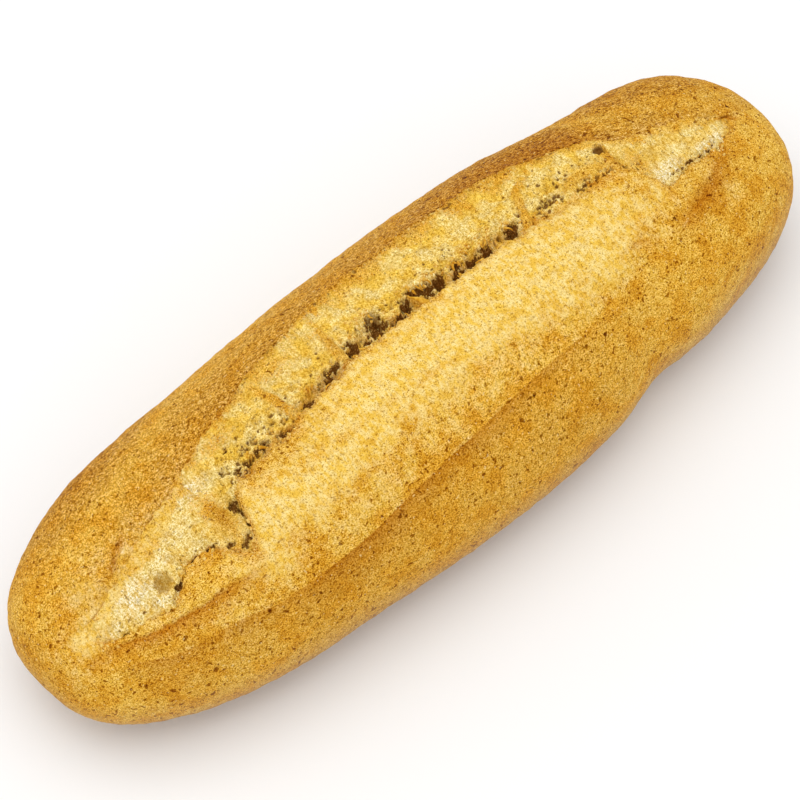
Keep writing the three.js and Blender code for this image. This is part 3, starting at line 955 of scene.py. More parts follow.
def crumb_zones(zones, points, torn, inside, fibres, split):
    """Adds to the crumb's zones where crust stays on it, and where it is white, pale, browned or dotted with
    painted shade.
    """
    x, y = points[..., 0], points[..., 1]
    depth, lift, opened = columns_of(split, "depth", "lift", "open")
    raised = np.clip(lift / FULL_LIFT, 0, 1)
    right, ends = torn_ends(x)
    patches = TINT.fine(torn, PATCH_SIZE)
    crisp = CRISP_SHIFT * smooth_step(-x, *CRISP_LEFT) * (1 - ends)
    start, end = LIP_CRUST_RUN
    lip_crust = smooth_step(inside + LIP_PATCHES * patches + LIP_FIBRES * fibres,
                            start - LIP_CRUST_RIGHT * right + crisp, end + crisp)
    lip_crust = (LIP_CRUST + (1 - LIP_CRUST) * ends) * lip_crust
    shallow = 1 - np.clip((depth - SHALLOW[0]) / SHALLOW[1], 0, 1)
    border = BORDER_PATCHES * patches + TORN.scaled(torn, *BORDER_GRAIN)
    turn = bell(x, *RIGHT_TURN)
    cover = COVER + COVER_TURN * turn - COVER_LESS * (right * (1 - turn) + smooth_step(-x, *COVER_LEFT))
    ahead = cover - inside + (BORDER + turn) * border
    near_crust = shallow * smooth_step(ahead, 0, COVER + COVER_TURN * turn)
    crusted = strongest(zones["crusted"], lip_crust, near_crust, marked(CRUST_MARKS, x, y), 1 - opened)
    dots = TORN.spots(torn, *DOT_SPOTS) * bell(inside, *DOT_BAND)
    gold = marked(GOLD_MARKS, x, y)
    lip_toast = LIP_TOAST * raised * smooth_step(inside, *LIP_TOAST_RUN)
    zones["crusted"] = crusted
    zones["white"] = np.maximum(marked(WHITE_MARKS, x, y), END_WHITE * ends) * (1 - crusted)
    # Dots of painted shade along the raised lip
    zones["pore_shade"] = np.maximum(zones["pore_shade"], DOT_DARK * dots * raised)
    zones["pale"] = np.maximum(along_loaf(LIP_PALE, x), marked(PALE_MARKS, x, y)) * (1 - gold)
    zones["toast"] = np.maximum(lip_toast, marked(TOAST_MARKS, x, y))


def carve_pores(along, across, share, change, crusted):
    """Sinks the crumb's pores into its relief and returns how strongly painted shade darkens each point in
    one.
    """
    draw = np.random.default_rng(PORE_SEED)
    spots = []
    for x_low, x_high, v_low, v_high, count, r_low, r_high in PORES:
        for _ in range(count):
            at = draw.uniform(x_low, x_high)
            v = draw.uniform(v_low, v_high)
            radius = draw.uniform(r_low, r_high)
            ring = np.clip(np.searchsorted(along, at), 0, len(along) - 1)
            column = np.clip(np.searchsorted(share[0], v), 0, share.shape[1] - 1)
            stretch = draw.uniform(*PORE_STRETCH)
            dark = min(1.0, PORE_DARK[0] + PORE_DARK[1] * radius)
            place = (at, across[ring, column], radius, PORE_DEPTH * radius)
            spots.append((*place, dark, stretch, PORE_SPARED, *PORE_BORDER))
    spots += [(*hole, 1.0, 0.0, *HOLE_BORDER) for hole in HOLES]
    pore_shade = np.zeros_like(change)
    for at, y, radius, depth, dark, stretch, spared, sharpness, uneven in spots:
        rows = slice(*np.searchsorted(along, (at - 2 * radius * stretch, at + 2 * radius * stretch)))
        gap = np.hypot((along[rows, None] - at) / stretch, across[rows] - y) / radius
        places = np.stack((along[rows, None] + 0 * gap, across[rows], 0 * gap), -1)
        gap = gap * (1 + TORN.scaled(places, uneven, PORE_GRAIN))
        dip = np.exp(-(np.abs(gap) ** sharpness)) * (1 - spared * crusted[rows])
        change[rows] -= depth * dip
        pore_shade[rows] = np.maximum(pore_shade[rows], dark * dip)
    return pore_shade


def crumb_faces(rings, columns):
    """Faces of the crumb's top, of its skirts and underside, and of its two end caps."""
    faces = grid_quads(rings, columns).tolist()
    first = np.arange(rings) * columns
    last = first + columns - 1
    near = rings * columns + np.arange(rings)
    far = near + rings
    for a, b in ((near, first), (last, far), (far, near)):
        faces.extend(np.stack((a[:-1], a[1:], b[1:], b[:-1]), -1).tolist())
    top = range((rings - 1) * columns, rings * columns)
    faces.append([int(near[0]), *range(columns), int(far[0])])
    faces.append([int(far[-1]), *reversed(top), int(near[-1])])
    return faces


def strand_paths(count, draw):
    """Curved paths of strands: half fray from the near edge into the crack, half hang from its far wall."""
    left, right = STRAND_MARGINS
    tries = draw.uniform(SPLIT[0, 0] + left, SPLIT[-1, 0] - right, STRAND_TRIES * count)
    kept = draw.uniform(*STRAND_DEPTHS, tries.size) < split_at(tries)["depth"]
    along = tries[kept][:count]
    count = along.size
    split, section = split_at(along), section_at(along)
    back = draw.uniform(*STRAND_BACK, count)
    hanging = draw.uniform(size=count) < 0.5
    wide = np.maximum(split["crack"] - split["crease"], 1)
    near_relief = bloom_relief(split["bloom"], split["depth"], 1 - back / wide, back)
    far_gap = np.maximum(split["mouth"], STRAND_MOUTH) * draw.uniform(*STRAND_ROOT, count)
    far_share = np.clip(far_gap / split["torn"], 0, 1)
    far_relief = np.diagonal(torn_relief(split, far_share[None]))
    start_gap = np.where(hanging, far_gap, -back)
    start_relief = np.where(hanging, far_relief, near_relief) + STRAND_CLEARANCE
    reach = np.where(hanging, -1, 1) * draw.uniform(*STRAND_REACH, count)
    drop = np.minimum(split["depth"], STRAND_DEEPEST) * draw.uniform(*STRAND_DROP, count)
    stations = np.linspace(0, 1, STRAND_STEPS)[None]
    arch = np.sin(math.pi * stations)
    sag = STRAND_SAG * draw.uniform(*STRAND_SLACK, count)[:, None] * arch * drop[:, None]
    gap = start_gap[:, None] + reach[:, None] * stations
    relief = start_relief[:, None] - drop[:, None] * stations + sag
    lean = draw.normal(0, STRAND_LEAN, count)[:, None] * stations
    lean = lean + draw.normal(0, STRAND_BEND, count)[:, None] * arch
    angle = np.stack([angle_at(section, split["crack"] + gap[:, k]) for k in range(STRAND_STEPS)], axis=1)
    paths, _ = over_section(along[:, None] + lean, section, angle, relief)
    return paths


def tuft_path():
    """The path of the tuft, from the near skin up over the crack."""
    stations = np.linspace(0, 1, STRAND_STEPS)
    along = TUFT_FOOT[0] + (TUFT_TIP[0] - TUFT_FOOT[0]) * stations
    section = section_at(along)
    angle = angle_at(section, TUFT_FOOT[1] + (TUFT_TIP[1] - TUFT_FOOT[1]) * stations)[:, None]
    across, up = section_point(section, angle)
    return np.stack((along, across[:, 0], up[:, 0] + TUFT_ARCH * np.sin(math.pi * stations)), -1)


def tubes(paths, radii, tips):
    """Closed tubes along paths: points and faces. Each keeps a share of its radius, its tip, at its end."""
    count, steps = paths.shape[:2]
    turn = np.linspace(0, 2 * math.pi, STRAND_SIDES, endpoint=False)
    tangent = np.gradient(paths, axis=1)
    tangent /= np.linalg.norm(tangent, axis=-1, keepdims=True)
    first = np.cross(tangent, (1.0, 0.0, 0.0))
    first /= np.linalg.norm(first, axis=-1, keepdims=True)
    second = np.cross(tangent, first)
    taper = 1 - (1 - tips[:, None]) * np.linspace(0, 1, steps) ** STRAND_TAPER
    uneven = 1 + TORN.scaled(paths, *STRAND_UNEVEN)
    reach = (radii[:, None] * taper * uneven)[..., None, None]
    ring = first[:, :, None] * np.cos(turn)[:, None] + second[:, :, None] * np.sin(turn)[:, None]
    points = (paths[:, :, None] + ring * reach).reshape(-1, 3)
    quads = np.roll(grid_quads(steps, STRAND_SIDES, around=True)[:, ::-1], 1, axis=-1)
    base = np.arange(STRAND_SIDES)
    caps = np.stack((base[::-1], base + (steps - 1) * STRAND_SIDES))
    faces = []
    for k in range(count):
        faces.extend((quads + k * steps * STRAND_SIDES).tolist())
        faces.extend((caps + k * steps * STRAND_SIDES).tolist())
    return points, faces


def clinging(points, normals, weights, count, draw):
    """Places and outward directions for crumbs, drawn from the points of a grid by weight."""
    flat = weights.ravel()
    picked = draw.choice(flat.size, count, p=flat / flat.sum())
    return points.reshape(-1, 3)[picked], normals.reshape(-1, 3)[picked]


def lumps(places, normals, radii, draw):
    """Small uneven lumps, each half sunk into its place: points and faces."""
    ball = bmesh.new()
    bmesh.ops.create_icosphere(ball, subdivisions=2, radius=1.0)
    ball.verts.ensure_lookup_table()
    form = np.array([corner.co for corner in ball.verts])
    sides = np.array([[corner.index for corner in face.verts] for face in ball.faces])
    ball.free()
    points, faces = [], []
    for k, (place, normal, radius) in enumerate(zip(places, normals, radii)):
        turn, _ = np.linalg.qr(draw.normal(size=(3, 3)))
        turn = turn * np.sign(np.linalg.det(turn))
        uneven = form * (1 + TORN.scaled(form + LUMP_APART * k, *LUMP_UNEVEN))[:, None]
        stretched = uneven * draw.uniform(*LUMP_STRETCH, 3)
        points.append(place + LUMP_LIFT * radius * normal + radius * stretched @ turn.T)
        faces.append(sides + k * len(form))
    return np.concatenate(points), np.concatenate(faces).tolist()


def screen(red, green, blue):
    """A scene-linear colour from screen values of 0 to 255."""
    shares = (value / 255 for value in (red, green, blue))
    return tuple(((s + 0.055) / 1.055) ** 2.4 if s > 0.04045 else s / 12.92 for s in shares)


# Levels of a grain: its middle, and where its dark and its light parts are full. Specks have a narrow edge
GRAIN_MIDDLE = 0.5
GRAIN_LOW = 0.34
GRAIN_HIGH = 0.66
SPECK_EDGE = 0.04
SPECK_DETAIL = 1.0
SPECK_ROUGHNESS = 0.5
# A clouded zone: levels of the grain that moves its border, and where the zone itself begins to show
CLOUD_LEVELS = (0.3, 0.7)
CLOUD_START = (0.0, 0.15)


class Finish:
    """A surface made of shader nodes. Sizes are in millimetres."""

    def __init__(self, name, specular):
        self.material = bpy.data.materials.new(name)
        self.material.use_nodes = True
        self.tree = self.material.node_tree
        self.tree.nodes.clear()
        self.shader = self.add("ShaderNodeBsdfPrincipled")
        self.shader.inputs["Specular IOR Level"].default_value = specular
        output = self.add("ShaderNodeOutputMaterial")
        self.tree.links.new(self.shader.outputs[0], output.inputs[0])
        self.place = self.add("ShaderNodeTexCoord").outputs["Object"]

    def add(self, kind, **settings):
        node = self.tree.nodes.new(kind)
        for key, value in settings.items():
            setattr(node, key, value)
        return node

    def feed(self, socket, value):
        if isinstance(value, bpy.types.NodeSocket):
            self.tree.links.new(value, socket)
        elif hasattr(value, "__len__") and len(value) == 3 and socket.type == "RGBA":
            socket.default_value = (*value, 1.0)
        else:
            socket.default_value = value

    def math(self, operation, a, b=0.0):
        node = self.add("ShaderNodeMath", operation=operation)
        self.feed(node.inputs[0], a)
        self.feed(node.inputs[1], b)
        return node.outputs[0]

    def blend(self, share, a, b, mode="MIX"):
        node = self.add("ShaderNodeMix", data_type="RGBA", blend_type=mode)
        self.feed(node.inputs[0], share)
        self.feed(node.inputs[6], a)
        self.feed(node.inputs[7], b)
        return node.outputs[2]

    def ramp(self, value, low, high, start=0.0, end=1.0):
        node = self.add("ShaderNodeMapRange", interpolation_type="SMOOTHSTEP")
        self.feed(node.inputs["Value"], value)
        for key, number in (("From Min", low), ("From Max", high), ("To Min", start), ("To Max", end)):
            self.feed(node.inputs[key], number)
        return node.outputs[0]

    def stretched(self, stretch, shift):
        node = self.add("ShaderNodeMapping")
        self.feed(node.inputs["Vector"], self.place)
        node.inputs["Scale"].default_value = stretch
        node.inputs["Location"].default_value = (shift, shift, shift)
        return node.outputs[0]

    def grain(self, size, detail, roughness, shift=0.0, stretch=(1, 1, 1)):
        node = self.add("ShaderNodeTexNoise")
        self.feed(node.inputs["Vector"], self.stretched(stretch, shift))
        node.inputs["Scale"].default_value = 1 / (size * MM)
        node.inputs["Detail"].default_value = detail
        node.inputs["Roughness"].default_value = roughness
        return node.outputs["Fac"]

    def specks(self, size, level, shift, share):
        """Scattered spots of uneven outline: fewer and smaller with a higher level."""
        grain = self.grain(size, SPECK_DETAIL, SPECK_ROUGHNESS, shift)
        return self.times(self.ramp(grain, level, level + SPECK_EDGE), share)

    def tinted(self, share, colour, tint):
        """The colour, multiplied by a tint as far as the share says."""
        return self.blend(share, colour, tint, "MULTIPLY")

    def varied(self, colour, grain, dark, light, dark_share=1.0, light_share=1.0):
        """The colour with a dark tint where the grain is low and a light one where it is high."""
        low = self.ramp(grain, GRAIN_MIDDLE, GRAIN_LOW)
        high = self.ramp(grain, GRAIN_MIDDLE, GRAIN_HIGH)
        colour = self.tinted(self.times(low, dark_share), colour, dark)
        return self.tinted(self.times(high, light_share), colour, light)

    def average(self, a, b):
        return self.times(self.math("ADD", a, b), 0.5)

    def clouded(self, zone, grain, reach, softness=1.0):
        """A zone whose border the grain moves in and out, and which stays empty where the zone is."""
        moved = self.math("ADD", zone, self.ramp(grain, *CLOUD_LEVELS, -reach, reach))
        edge = self.ramp(moved, 0.5 - softness / 2, 0.5 + softness / 2)
        return self.times(edge, self.ramp(zone, *CLOUD_START))

    def zone(self, name):
        node = self.add("ShaderNodeAttribute", attribute_name=name)
        return node.outputs["Fac"]

    def times(self, a, b):
        return self.math("MULTIPLY", a, b)

    def rough(self, value):
        self.feed(self.shader.inputs["Roughness"], value)

    def colour(self, value):
        self.feed(self.shader.inputs["Base Color"], value)

    def bump(self, height, depth, strength=1.0):
        node = self.add("ShaderNodeBump")
        node.inputs["Strength"].default_value = strength
        node.inputs["Distance"].default_value = depth * MM
        self.feed(node.inputs["Height"], height)
        self.feed(self.shader.inputs["Normal"], node.outputs[0])


# Grains of the crust: size, detail, roughness, place in the noise, and stretch
CRUST_GRAINS = {
    "patches": (9.0, 3.0, 0.6, 0.31),
    "coarse": (3.0, 3.0, 0.65, 0.73),
    "mottle": (1.2, 4.0, 0.7),
    "fine": (0.6, 2.0, 0.6, 0.17, (0.8, 1, 1)),
    "grit": (0.3, 1.0, 0.5, 0.37, (0.8, 1, 1)),
    "feathers": (1.1, 3.0, 0.65, 0.61, (1, 0.35, 0.35)),
    "threads": (0.8, 2.0, 0.7, 0.83, (0.65, 1, 1)),
}
# Tints of the crust where a grain is low and where it is high
CRUST_TINTS = (
    ("patches", (0.93, 0.88, 0.76), (1.04, 1.07, 1.14)),
    ("coarse", (0.9, 0.83, 0.6), (1.05, 1.08, 1.2)),
    ("mottle", (0.82, 0.72, 0.36), (1.06, 1.09, 1.3)),
    ("fine", (0.8, 0.7, 0.3), (1.06, 1.09, 1.32)),
    ("grit", (0.48, 0.31, 0.0), (1.18, 1.31, 2.2)),
)
THREAD_TINTS = ((0.34, 0.2, 0.0), (1.3, 1.58, 3.2))
# Ramps: from and to of a zone or grain, then the strengths at both
CALM = (0.0, 0.8, 1.0, 0.47)
QUIET = (0.0, 0.7, 1.0, 0.15)
BROWNER = (0.0, 0.6)
TOAST_PATCHES = (0.35, 0.7, -0.05, 0.2)
# Specks of the crust: size, level, place in the noise, and strength of those that don't follow the zones
PRICKS = (0.6, 0.63, 0.23, 0.9)
PRICK_TINT = (0.55, 0.42, 0.2)
SMALL_BRAN = (1.3, 0.66, 0.13)
LARGE_BRAN = (2.3, 0.7, 0.57)
# Pale flecks: partly flour, partly painted glints
FLECKS_AND_GLINTS = (0.9, 0.7, 0.91, 0.6)
# Two grains of the dull band low on the sides, partly painted shade and reflection, with their tints
RIM_TINTS = ((0.74, 0.7, 0.66), (1.14, 1.15, 1.16))
RIM_GRIT = (0.5, 1.0, 0.5, 0.67)
RIM_GRIT_TINTS = ((0.7, 0.66, 0.6), (1.14, 1.16, 1.2))

# Grains, ramps and tints of the torn crumb, in the same way
CRUMB_GRAINS = {
    "patches": (5.5, 2.0, 0.6, 0.8),
    "blotches": (3.0, 2.0, 0.6, 0.15),
    "streaks": (0.9, 3.0, 0.65, 0.1, (1, 0.25, 0.25)),
    "fine": (0.6, 2.0, 0.6, 0.27),
    "grit": (0.36, 1.0, 0.5, 0.47),
}
WHITENING = (0.35, 0.55, 0.35, 1.0)
BLOTCHING = (0.5, 0.66, 0.0, 0.7)
# Ramp of the painted shade in pores, and the levels of the pale spots in the crack's painted shade
PORE_DEPTHS = (0.2, 0.8, 0.0, 0.9)
SUNK_PALE = (0.52, 0.7)
BLOTCH_TINT = (0.8, 0.77, 0.78)
STREAK_TINTS = ((0.84, 0.76, 0.54), (1.04, 1.06, 1.12))
CRUMB_TINTS = (
    ("mottle", (0.82, 0.74, 0.5), (1.06, 1.1, 1.2)),
    ("fine", (0.76, 0.68, 0.4), (1.07, 1.14, 1.4)),
    ("grit", (0.74, 0.66, 0.38), (1.08, 1.15, 1.5)),
)
# Tints of the painted shade in the crack
CRACK_TINTS = ((0.58, 0.48, 0.3), (1.15, 1.2, 1.3))
CRUMB_PORES = (1.2, 0.68, 0.2, 0.6)
CRUMB_PRICKS = (0.7, 0.63, 0.9, 0.6)
CRUMB_PRICK_TINT = (0.55, 0.45, 0.3)
# Levels of a grain between which two colours meet, softly and more sharply
MEETING = (0.38, 0.62)
CLOSE_MEETING = (0.42, 0.58)
ROUGH_LEVELS = (0.3, 0.7)
COARSE_BUMP = 0.8
LOW_SHARE = 0.85
SHADE_SHARE = 0.4


def browned(skin, look, overlays=()):
    """The crust's colour by its zones, then overlaid, clouded, mottled, and flecked with bran."""
    grains = {name: skin.grain(*grain) for name, grain in CRUST_GRAINS.items()}
    patches, coarse = grains["patches"], grains["coarse"]
    pale_zone = skin.clouded(skin.zone("pale"), skin.average(patches, coarse), reach=0.22)
    plain = skin.blend(skin.ramp(patches, *MEETING), look.warm, look.golden)
    wisps = skin.average(grains["feathers"], coarse)
    swollen = skin.blend(skin.ramp(wisps, *CLOSE_MEETING), look.yellow, look.pale)
    colour = skin.blend(pale_zone, plain, swollen)
    toasted = skin.math("ADD", skin.zone("toast"), skin.ramp(patches, *TOAST_PATCHES))
    colour = skin.blend(skin.ramp(toasted, 0.0, 1.0), colour, look.brown)
    # Overlays: folds, the crease edge's pale spots that are partly a painted highlight, and the torn fringe
    for zone, share, overlay_colour in overlays:
        colour = skin.blend(skin.times(skin.zone(zone), share), colour, overlay_colour)
    calm = skin.ramp(pale_zone, *CALM)
    quiet = skin.ramp(pale_zone, *QUIET)
    for name, dark, light in CRUST_TINTS:
        colour = skin.varied(colour, grains[name], dark, light, calm, quiet)
    browner = skin.ramp(skin.zone("far"), *BROWNER)
    colour = skin.varied(colour, grains["threads"], *THREAD_TINTS, browner, browner)
    colour = skin.tinted(skin.specks(*PRICKS), colour, PRICK_TINT)
    colour = skin.tinted(skin.specks(*SMALL_BRAN, calm), colour, look.bran)
    colour = skin.tinted(skin.specks(*LARGE_BRAN, quiet), colour, look.bran)
    # Pale flecks, partly painted glints
    colour = skin.blend(skin.specks(*FLECKS_AND_GLINTS), colour, look.fleck_and_glint)
    return colour, grains["mottle"], coarse


def crust_finish(look):
    """Golden crust with pale swollen skin, browned bands, fine mottle, bran and flecks, the flecks partly
    painted glints, and a grey band low on the sides that is partly painted shade and reflection.
    """
    skin = Finish("Browned crust", specular=0.03)
    skin.shader.inputs["Sheen Weight"].default_value = 0.02
    skin.shader.inputs["Sheen Roughness"].default_value = 0.3
    # The crease edge's pale spots are partly a painted highlight; the lip's gaps in the fold colour are
    # painted shade
    overlays = (("fold", 0.85, look.fold), ("edge", 0.35, look.pale), ("fringe", 0.4, look.fringe))
    colour, mottle, coarse = browned(skin, look, overlays)
    # The grey band low on the sides: partly a floury base, partly painted shade and painted reflection
    floury_shaded_rim = skin.varied(look.rim_and_shade, mottle, *RIM_TINTS)
    floury_shaded_rim = skin.varied(floury_shaded_rim, skin.grain(*RIM_GRIT), *RIM_GRIT_TINTS)
    skin.colour(skin.blend(skin.times(skin.zone("low"), LOW_SHARE), colour, floury_shaded_rim))
    skin.rough(skin.ramp(mottle, *ROUGH_LEVELS, start=0.55, end=0.8))
    skin.bump(skin.math("ADD", mottle, skin.times(coarse, COARSE_BUMP)), depth=0.35, strength=0.7)
    return skin.material


def crumb_finish(look, crust_look):
    """Torn crumb: cream and white, with brown pores and a dark crack painted in as shade, streaked, and
    crusted in places.
    """
    torn = Finish("Torn crumb", specular=0.03)
    grains = {name: torn.grain(*grain) for name, grain in CRUMB_GRAINS.items()}
    crust, mottle, _ = browned(torn, crust_look)
    grains["mottle"] = mottle
    streaks = grains["streaks"]
    colour = torn.blend(torn.ramp(grains["patches"], *MEETING), look.cream, look.yellow)
    whitened = torn.times(torn.zone("white"), torn.ramp(streaks, *WHITENING))
    colour = torn.blend(whitened, colour, look.white)
    colour = torn.tinted(torn.ramp(grains["blotches"], *BLOTCHING), colour, BLOTCH_TINT)
    colour = torn.varied(colour, streaks, *STREAK_TINTS)
    colour = torn.blend(torn.times(torn.zone("shade"), SHADE_SHARE), colour, look.shade)
    for name, dark, light in CRUMB_TINTS:
        colour = torn.varied(colour, grains[name], dark, light)
    colour = torn.blend(torn.specks(*CRUMB_PORES), colour, look.pore_shade)
    colour = torn.tinted(torn.specks(*CRUMB_PRICKS), colour, CRUMB_PRICK_TINT)
    colour = torn.blend(torn.clouded(torn.zone("crusted"), mottle, reach=0.4), colour, crust)
    # Painted shade inside the pores
    colour = torn.blend(torn.ramp(torn.zone("pore_shade"), *PORE_DEPTHS), colour, look.pore_shade)
    # Painted shade deep in the crack: dark crumb with paler spots, blended in where the clusters sink
    sunk = torn.blend(torn.ramp(grains["fine"], *SUNK_PALE), look.crack, look.shade)
    sunk = torn.varied(sunk, mottle, *CRACK_TINTS)
    deep_shade = torn.clouded(torn.zone("deep_shade"), mottle, reach=0.4, softness=0.4)
    torn.colour(torn.blend(deep_shade, colour, sunk))
    torn.rough(torn.ramp(mottle, *ROUGH_LEVELS, start=0.7, end=0.95))
    torn.bump(torn.math("ADD", streaks, mottle), depth=0.4, strength=0.8)
    return torn.material


def crumbs_finish(look):
    """Loose crumbs: yellow and cream, finely mottled."""
    crumb = Finish("Loose crumbs", specular=0.04)
    mottle = crumb.grain(size=0.9, detail=3.0, roughness=0.65, shift=0.3)
    fine = crumb.grain(size=0.5, detail=2.0, roughness=0.6)
    colour = crumb.blend(crumb.ramp(mottle, low=0.4, high=0.6), look.yellow, look.cream)
    crumb.colour(crumb.varied(colour, fine, dark=(0.78, 0.7, 0.45), light=(1.05, 1.1, 1.4)))
    crumb.rough(crumb.ramp(mottle, *ROUGH_LEVELS, start=0.7, end=0.95))
    crumb.bump(mottle, depth=0.2, strength=0.6)
    return crumb.material


def strand_finish(look):
    """Thin dried strands of crumb."""
    fibre = Finish("Frayed strands", specular=0.04)
    mottle = fibre.grain(size=1.4, detail=2.0, roughness=0.55)
    fibre.colour(fibre.blend(fibre.ramp(mottle, low=0.35, high=0.65), look.colour, look.tip_colour))
    fibre.rough(fibre.ramp(mottle, *ROUGH_LEVELS, start=0.6, end=0.85))
    fibre.bump(mottle, depth=0.1, strength=0.4)
    return fibre.material


def place_piece(piece):
    """Ties a finished piece to the loaf."""
    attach(piece, "root")
    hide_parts("loaf")


def number(name, description, count):
    return IntProperty(name=name, description=description, default=count, min=1, max=1200)


def length(name, description, millimetres):
    return FloatProperty(
        name=name, description=description, default=millimetres * MM, min=0.1 * MM, max=4 * MM,
        unit="LENGTH", precision=5,
    )


def turned(name, description, degrees):
    return FloatProperty(name=name, description=description, default=math.radians(degrees), subtype="ANGLE")


def tone(name, description, colour):
    return FloatVectorProperty(
        name=name, description=description, subtype="COLOR", size=3, min=0, max=1, default=screen(*colour)
    )


class CrustLook(bpy.types.PropertyGroup):
    """Colours of the crust"""

    golden: tone("Golden", "Plain crust", (241, 193, 77))
    warm: tone("Warm", "Warmer clouds of the plain crust", (234, 175, 53))
    pale: tone("Pale", "Swollen skin beside the crack", (254, 227, 148))
    yellow: tone("Yellow", "Yellower wisps of the swollen skin", (250, 208, 88))
    brown: tone("Brown", "Most browned crust", (188, 121, 26))
    # Rim: floury base low on the sides, greyed by painted shade and painted reflection
    rim_and_shade: tone("Rim", "Crust low on the sides", (176, 148, 122))
    fold: tone("Fold", "Bottom of folds and slits", (192, 116, 4))
    fringe: tone("Fringe", "Torn edge of the skin beside the crack", (206, 164, 92))
    bran: tone("Bran", "Tint of the specks of bran", (170, 140, 64))
    # Fleck: partly flour, partly painted glints
    fleck_and_glint: tone("Fleck", "Small pale flecks", (250, 222, 150))


class CrumbLook(bpy.types.PropertyGroup):
    """Colours of the torn crumb"""

    cream: tone("Cream", "Open crumb", (252, 223, 138))
    yellow: tone("Yellow", "Yellow patches of the crumb", (246, 201, 80))
    white: tone("White", "Palest crumb at both ends of the split", (254, 238, 190))
    # Pore: painted shade inside pores
    pore_shade: tone("Pore", "Inside of pores", (112, 72, 26))
    shade: tone("Shade", "Dull crumb round the dark clusters", (184, 142, 76))
    # Crack: painted shade of the deepest crumb in the crack
    crack: tone("Crack", "Deepest crumb in the crack", (108, 67, 20))


class CrumbsLook(bpy.types.PropertyGroup):
    """Number, size and colours of the loose crumbs"""

    count: number("Count", "Crumbs along the torn edges", 640)
    size: length("Size", "Diameter of the largest crumb", 1.2)
    cream: tone("Cream", "Lighter crumbs", (242, 206, 116))
    yellow: tone("Yellow", "Yellower parts of the crumbs", (224, 172, 62))


class StrandLook(bpy.types.PropertyGroup):
    """Number, size and colours of the strands"""

    count: number("Count", "Strands along the crack", 46)
    thickness: length("Thickness", "Diameter of the thickest strand", 1.3)
    colour: tone("Colour", "Body of a strand", (206, 146, 34))
    tip_colour: tone("Second colour", "Lighter parts of the strands", (234, 184, 72))


class StageLook(bpy.types.PropertyGroup):
    """Floor, lamp and camera"""

    floor: tone("Floor", "Plain floor", (250, 250, 250))
    lamp_power: FloatProperty(
        name="Lamp power", description="Soft lamp above the loaf", default=8.0, min=0, unit="POWER"
    )
    sky: FloatProperty(name="Sky", description="Strength of the light from all round", default=0.84, min=0)
    azimuth: turned("Azimuth", "Camera's turn round the loaf", -42.75)
    elevation: turned("Elevation", "Camera's angle above the floor", 57.0)
    distance: FloatProperty(
        name="Distance", description="Camera to the middle of the loaf", default=1.0, min=0.2, unit="LENGTH"
    )
    lens: FloatProperty(name="Lens", description="Focal length in millimetres", default=146.0, min=10.0)


# The stage, in metres but for the aim and the sensor: floor, lamp, and the point that the camera looks at
FLOOR_HALF = 4.0
FLOOR_DROP = 0.2 * MM
LAMP_SIZE = 1.4
LAMP_PLACE = (-0.2, 0.15, 1.5)
LAMP_AIM = (0, 0, 0.03)
SENSOR_WIDTH = 36.0
AIM = (-7.44, 1.44, 27.96)
# How far the crumb's skirts go down on the crack's side, and on the lip's side below the lowest crumb
SKIRT = 3.0


class LOAF_OT_crust(bpy.types.Operator):
    """Build the crust of the loaf"""

    bl_idname = "loaf.crust"
    bl_label = "Crust"

    def execute(self, context):
        points, zones = crust_grid()
        rings, columns = points.shape[:2]
        tips = np.array(((-LENGTH / 2, LEFT_SWAY, WAIST_HEIGHT), (LENGTH / 2, 0.0, WAIST_HEIGHT)))
        flat = np.concatenate((points.reshape(-1, 3), tips))
        flat[:, 1] += middle_shift()
        tinge = {name: np.concatenate((z.ravel(), (z[0].mean(), z[-1].mean()))) for name, z in zones.items()}
        material = crust_finish(context.scene.loaf_crust)
        place_piece(mesh_object("crust", flat, closed_rings(rings, columns), tinge, material))
        return {"FINISHED"}


class LOAF_OT_crumb(bpy.types.Operator):
    """Build the torn crumb in the split"""

    bl_idname = "loaf.crumb"
    bl_label = "Crumb"

    def execute(self, context):
        points, outward, split, zones = crumb_grid()
        rings, columns = points.shape[:2]
        deeper = (split["depth"] + split["lift"] + SKIRT)[:, None]
        skirts = (points[:, 0] - outward[:, 0] * SKIRT, points[:, -1] - outward[:, -1] * deeper)
        flat = np.concatenate((points.reshape(-1, 3), *skirts))
        flat[:, 1] += middle_shift()
        tinge = {name: np.concatenate((z.ravel(), z[:, 0], z[:, -1])) for name, z in zones.items()}
        material = crumb_finish(context.scene.loaf_crumb, context.scene.loaf_crust)
        place_piece(mesh_object("crumb", flat, crumb_faces(rings, columns), tinge, material))
        return {"FINISHED"}


class LOAF_OT_strands(bpy.types.Operator):
    """Build the strands of crumb that fray along the crack"""

    bl_idname = "loaf.strands"
    bl_label = "Strands"

    def execute(self, context):
        look = context.scene.loaf_strands
        draw = np.random.default_rng(STRAND_SEED)
        paths = strand_paths(look.count, draw)
        radii = look.thickness / MM / 2 * draw.uniform(*STRAND_RADII, len(paths))
        tips = np.append(np.full(len(paths), STRAND_TIP), TUFT_END)
        paths = np.concatenate((paths, tuft_path()[None]))
        points, faces = tubes(paths, np.append(radii, TUFT_THICKNESS / 2), tips)
        points[:, 1] += middle_shift()
        place_piece(mesh_object("strands", points, faces, {}, strand_finish(look)))
        return {"FINISHED"}


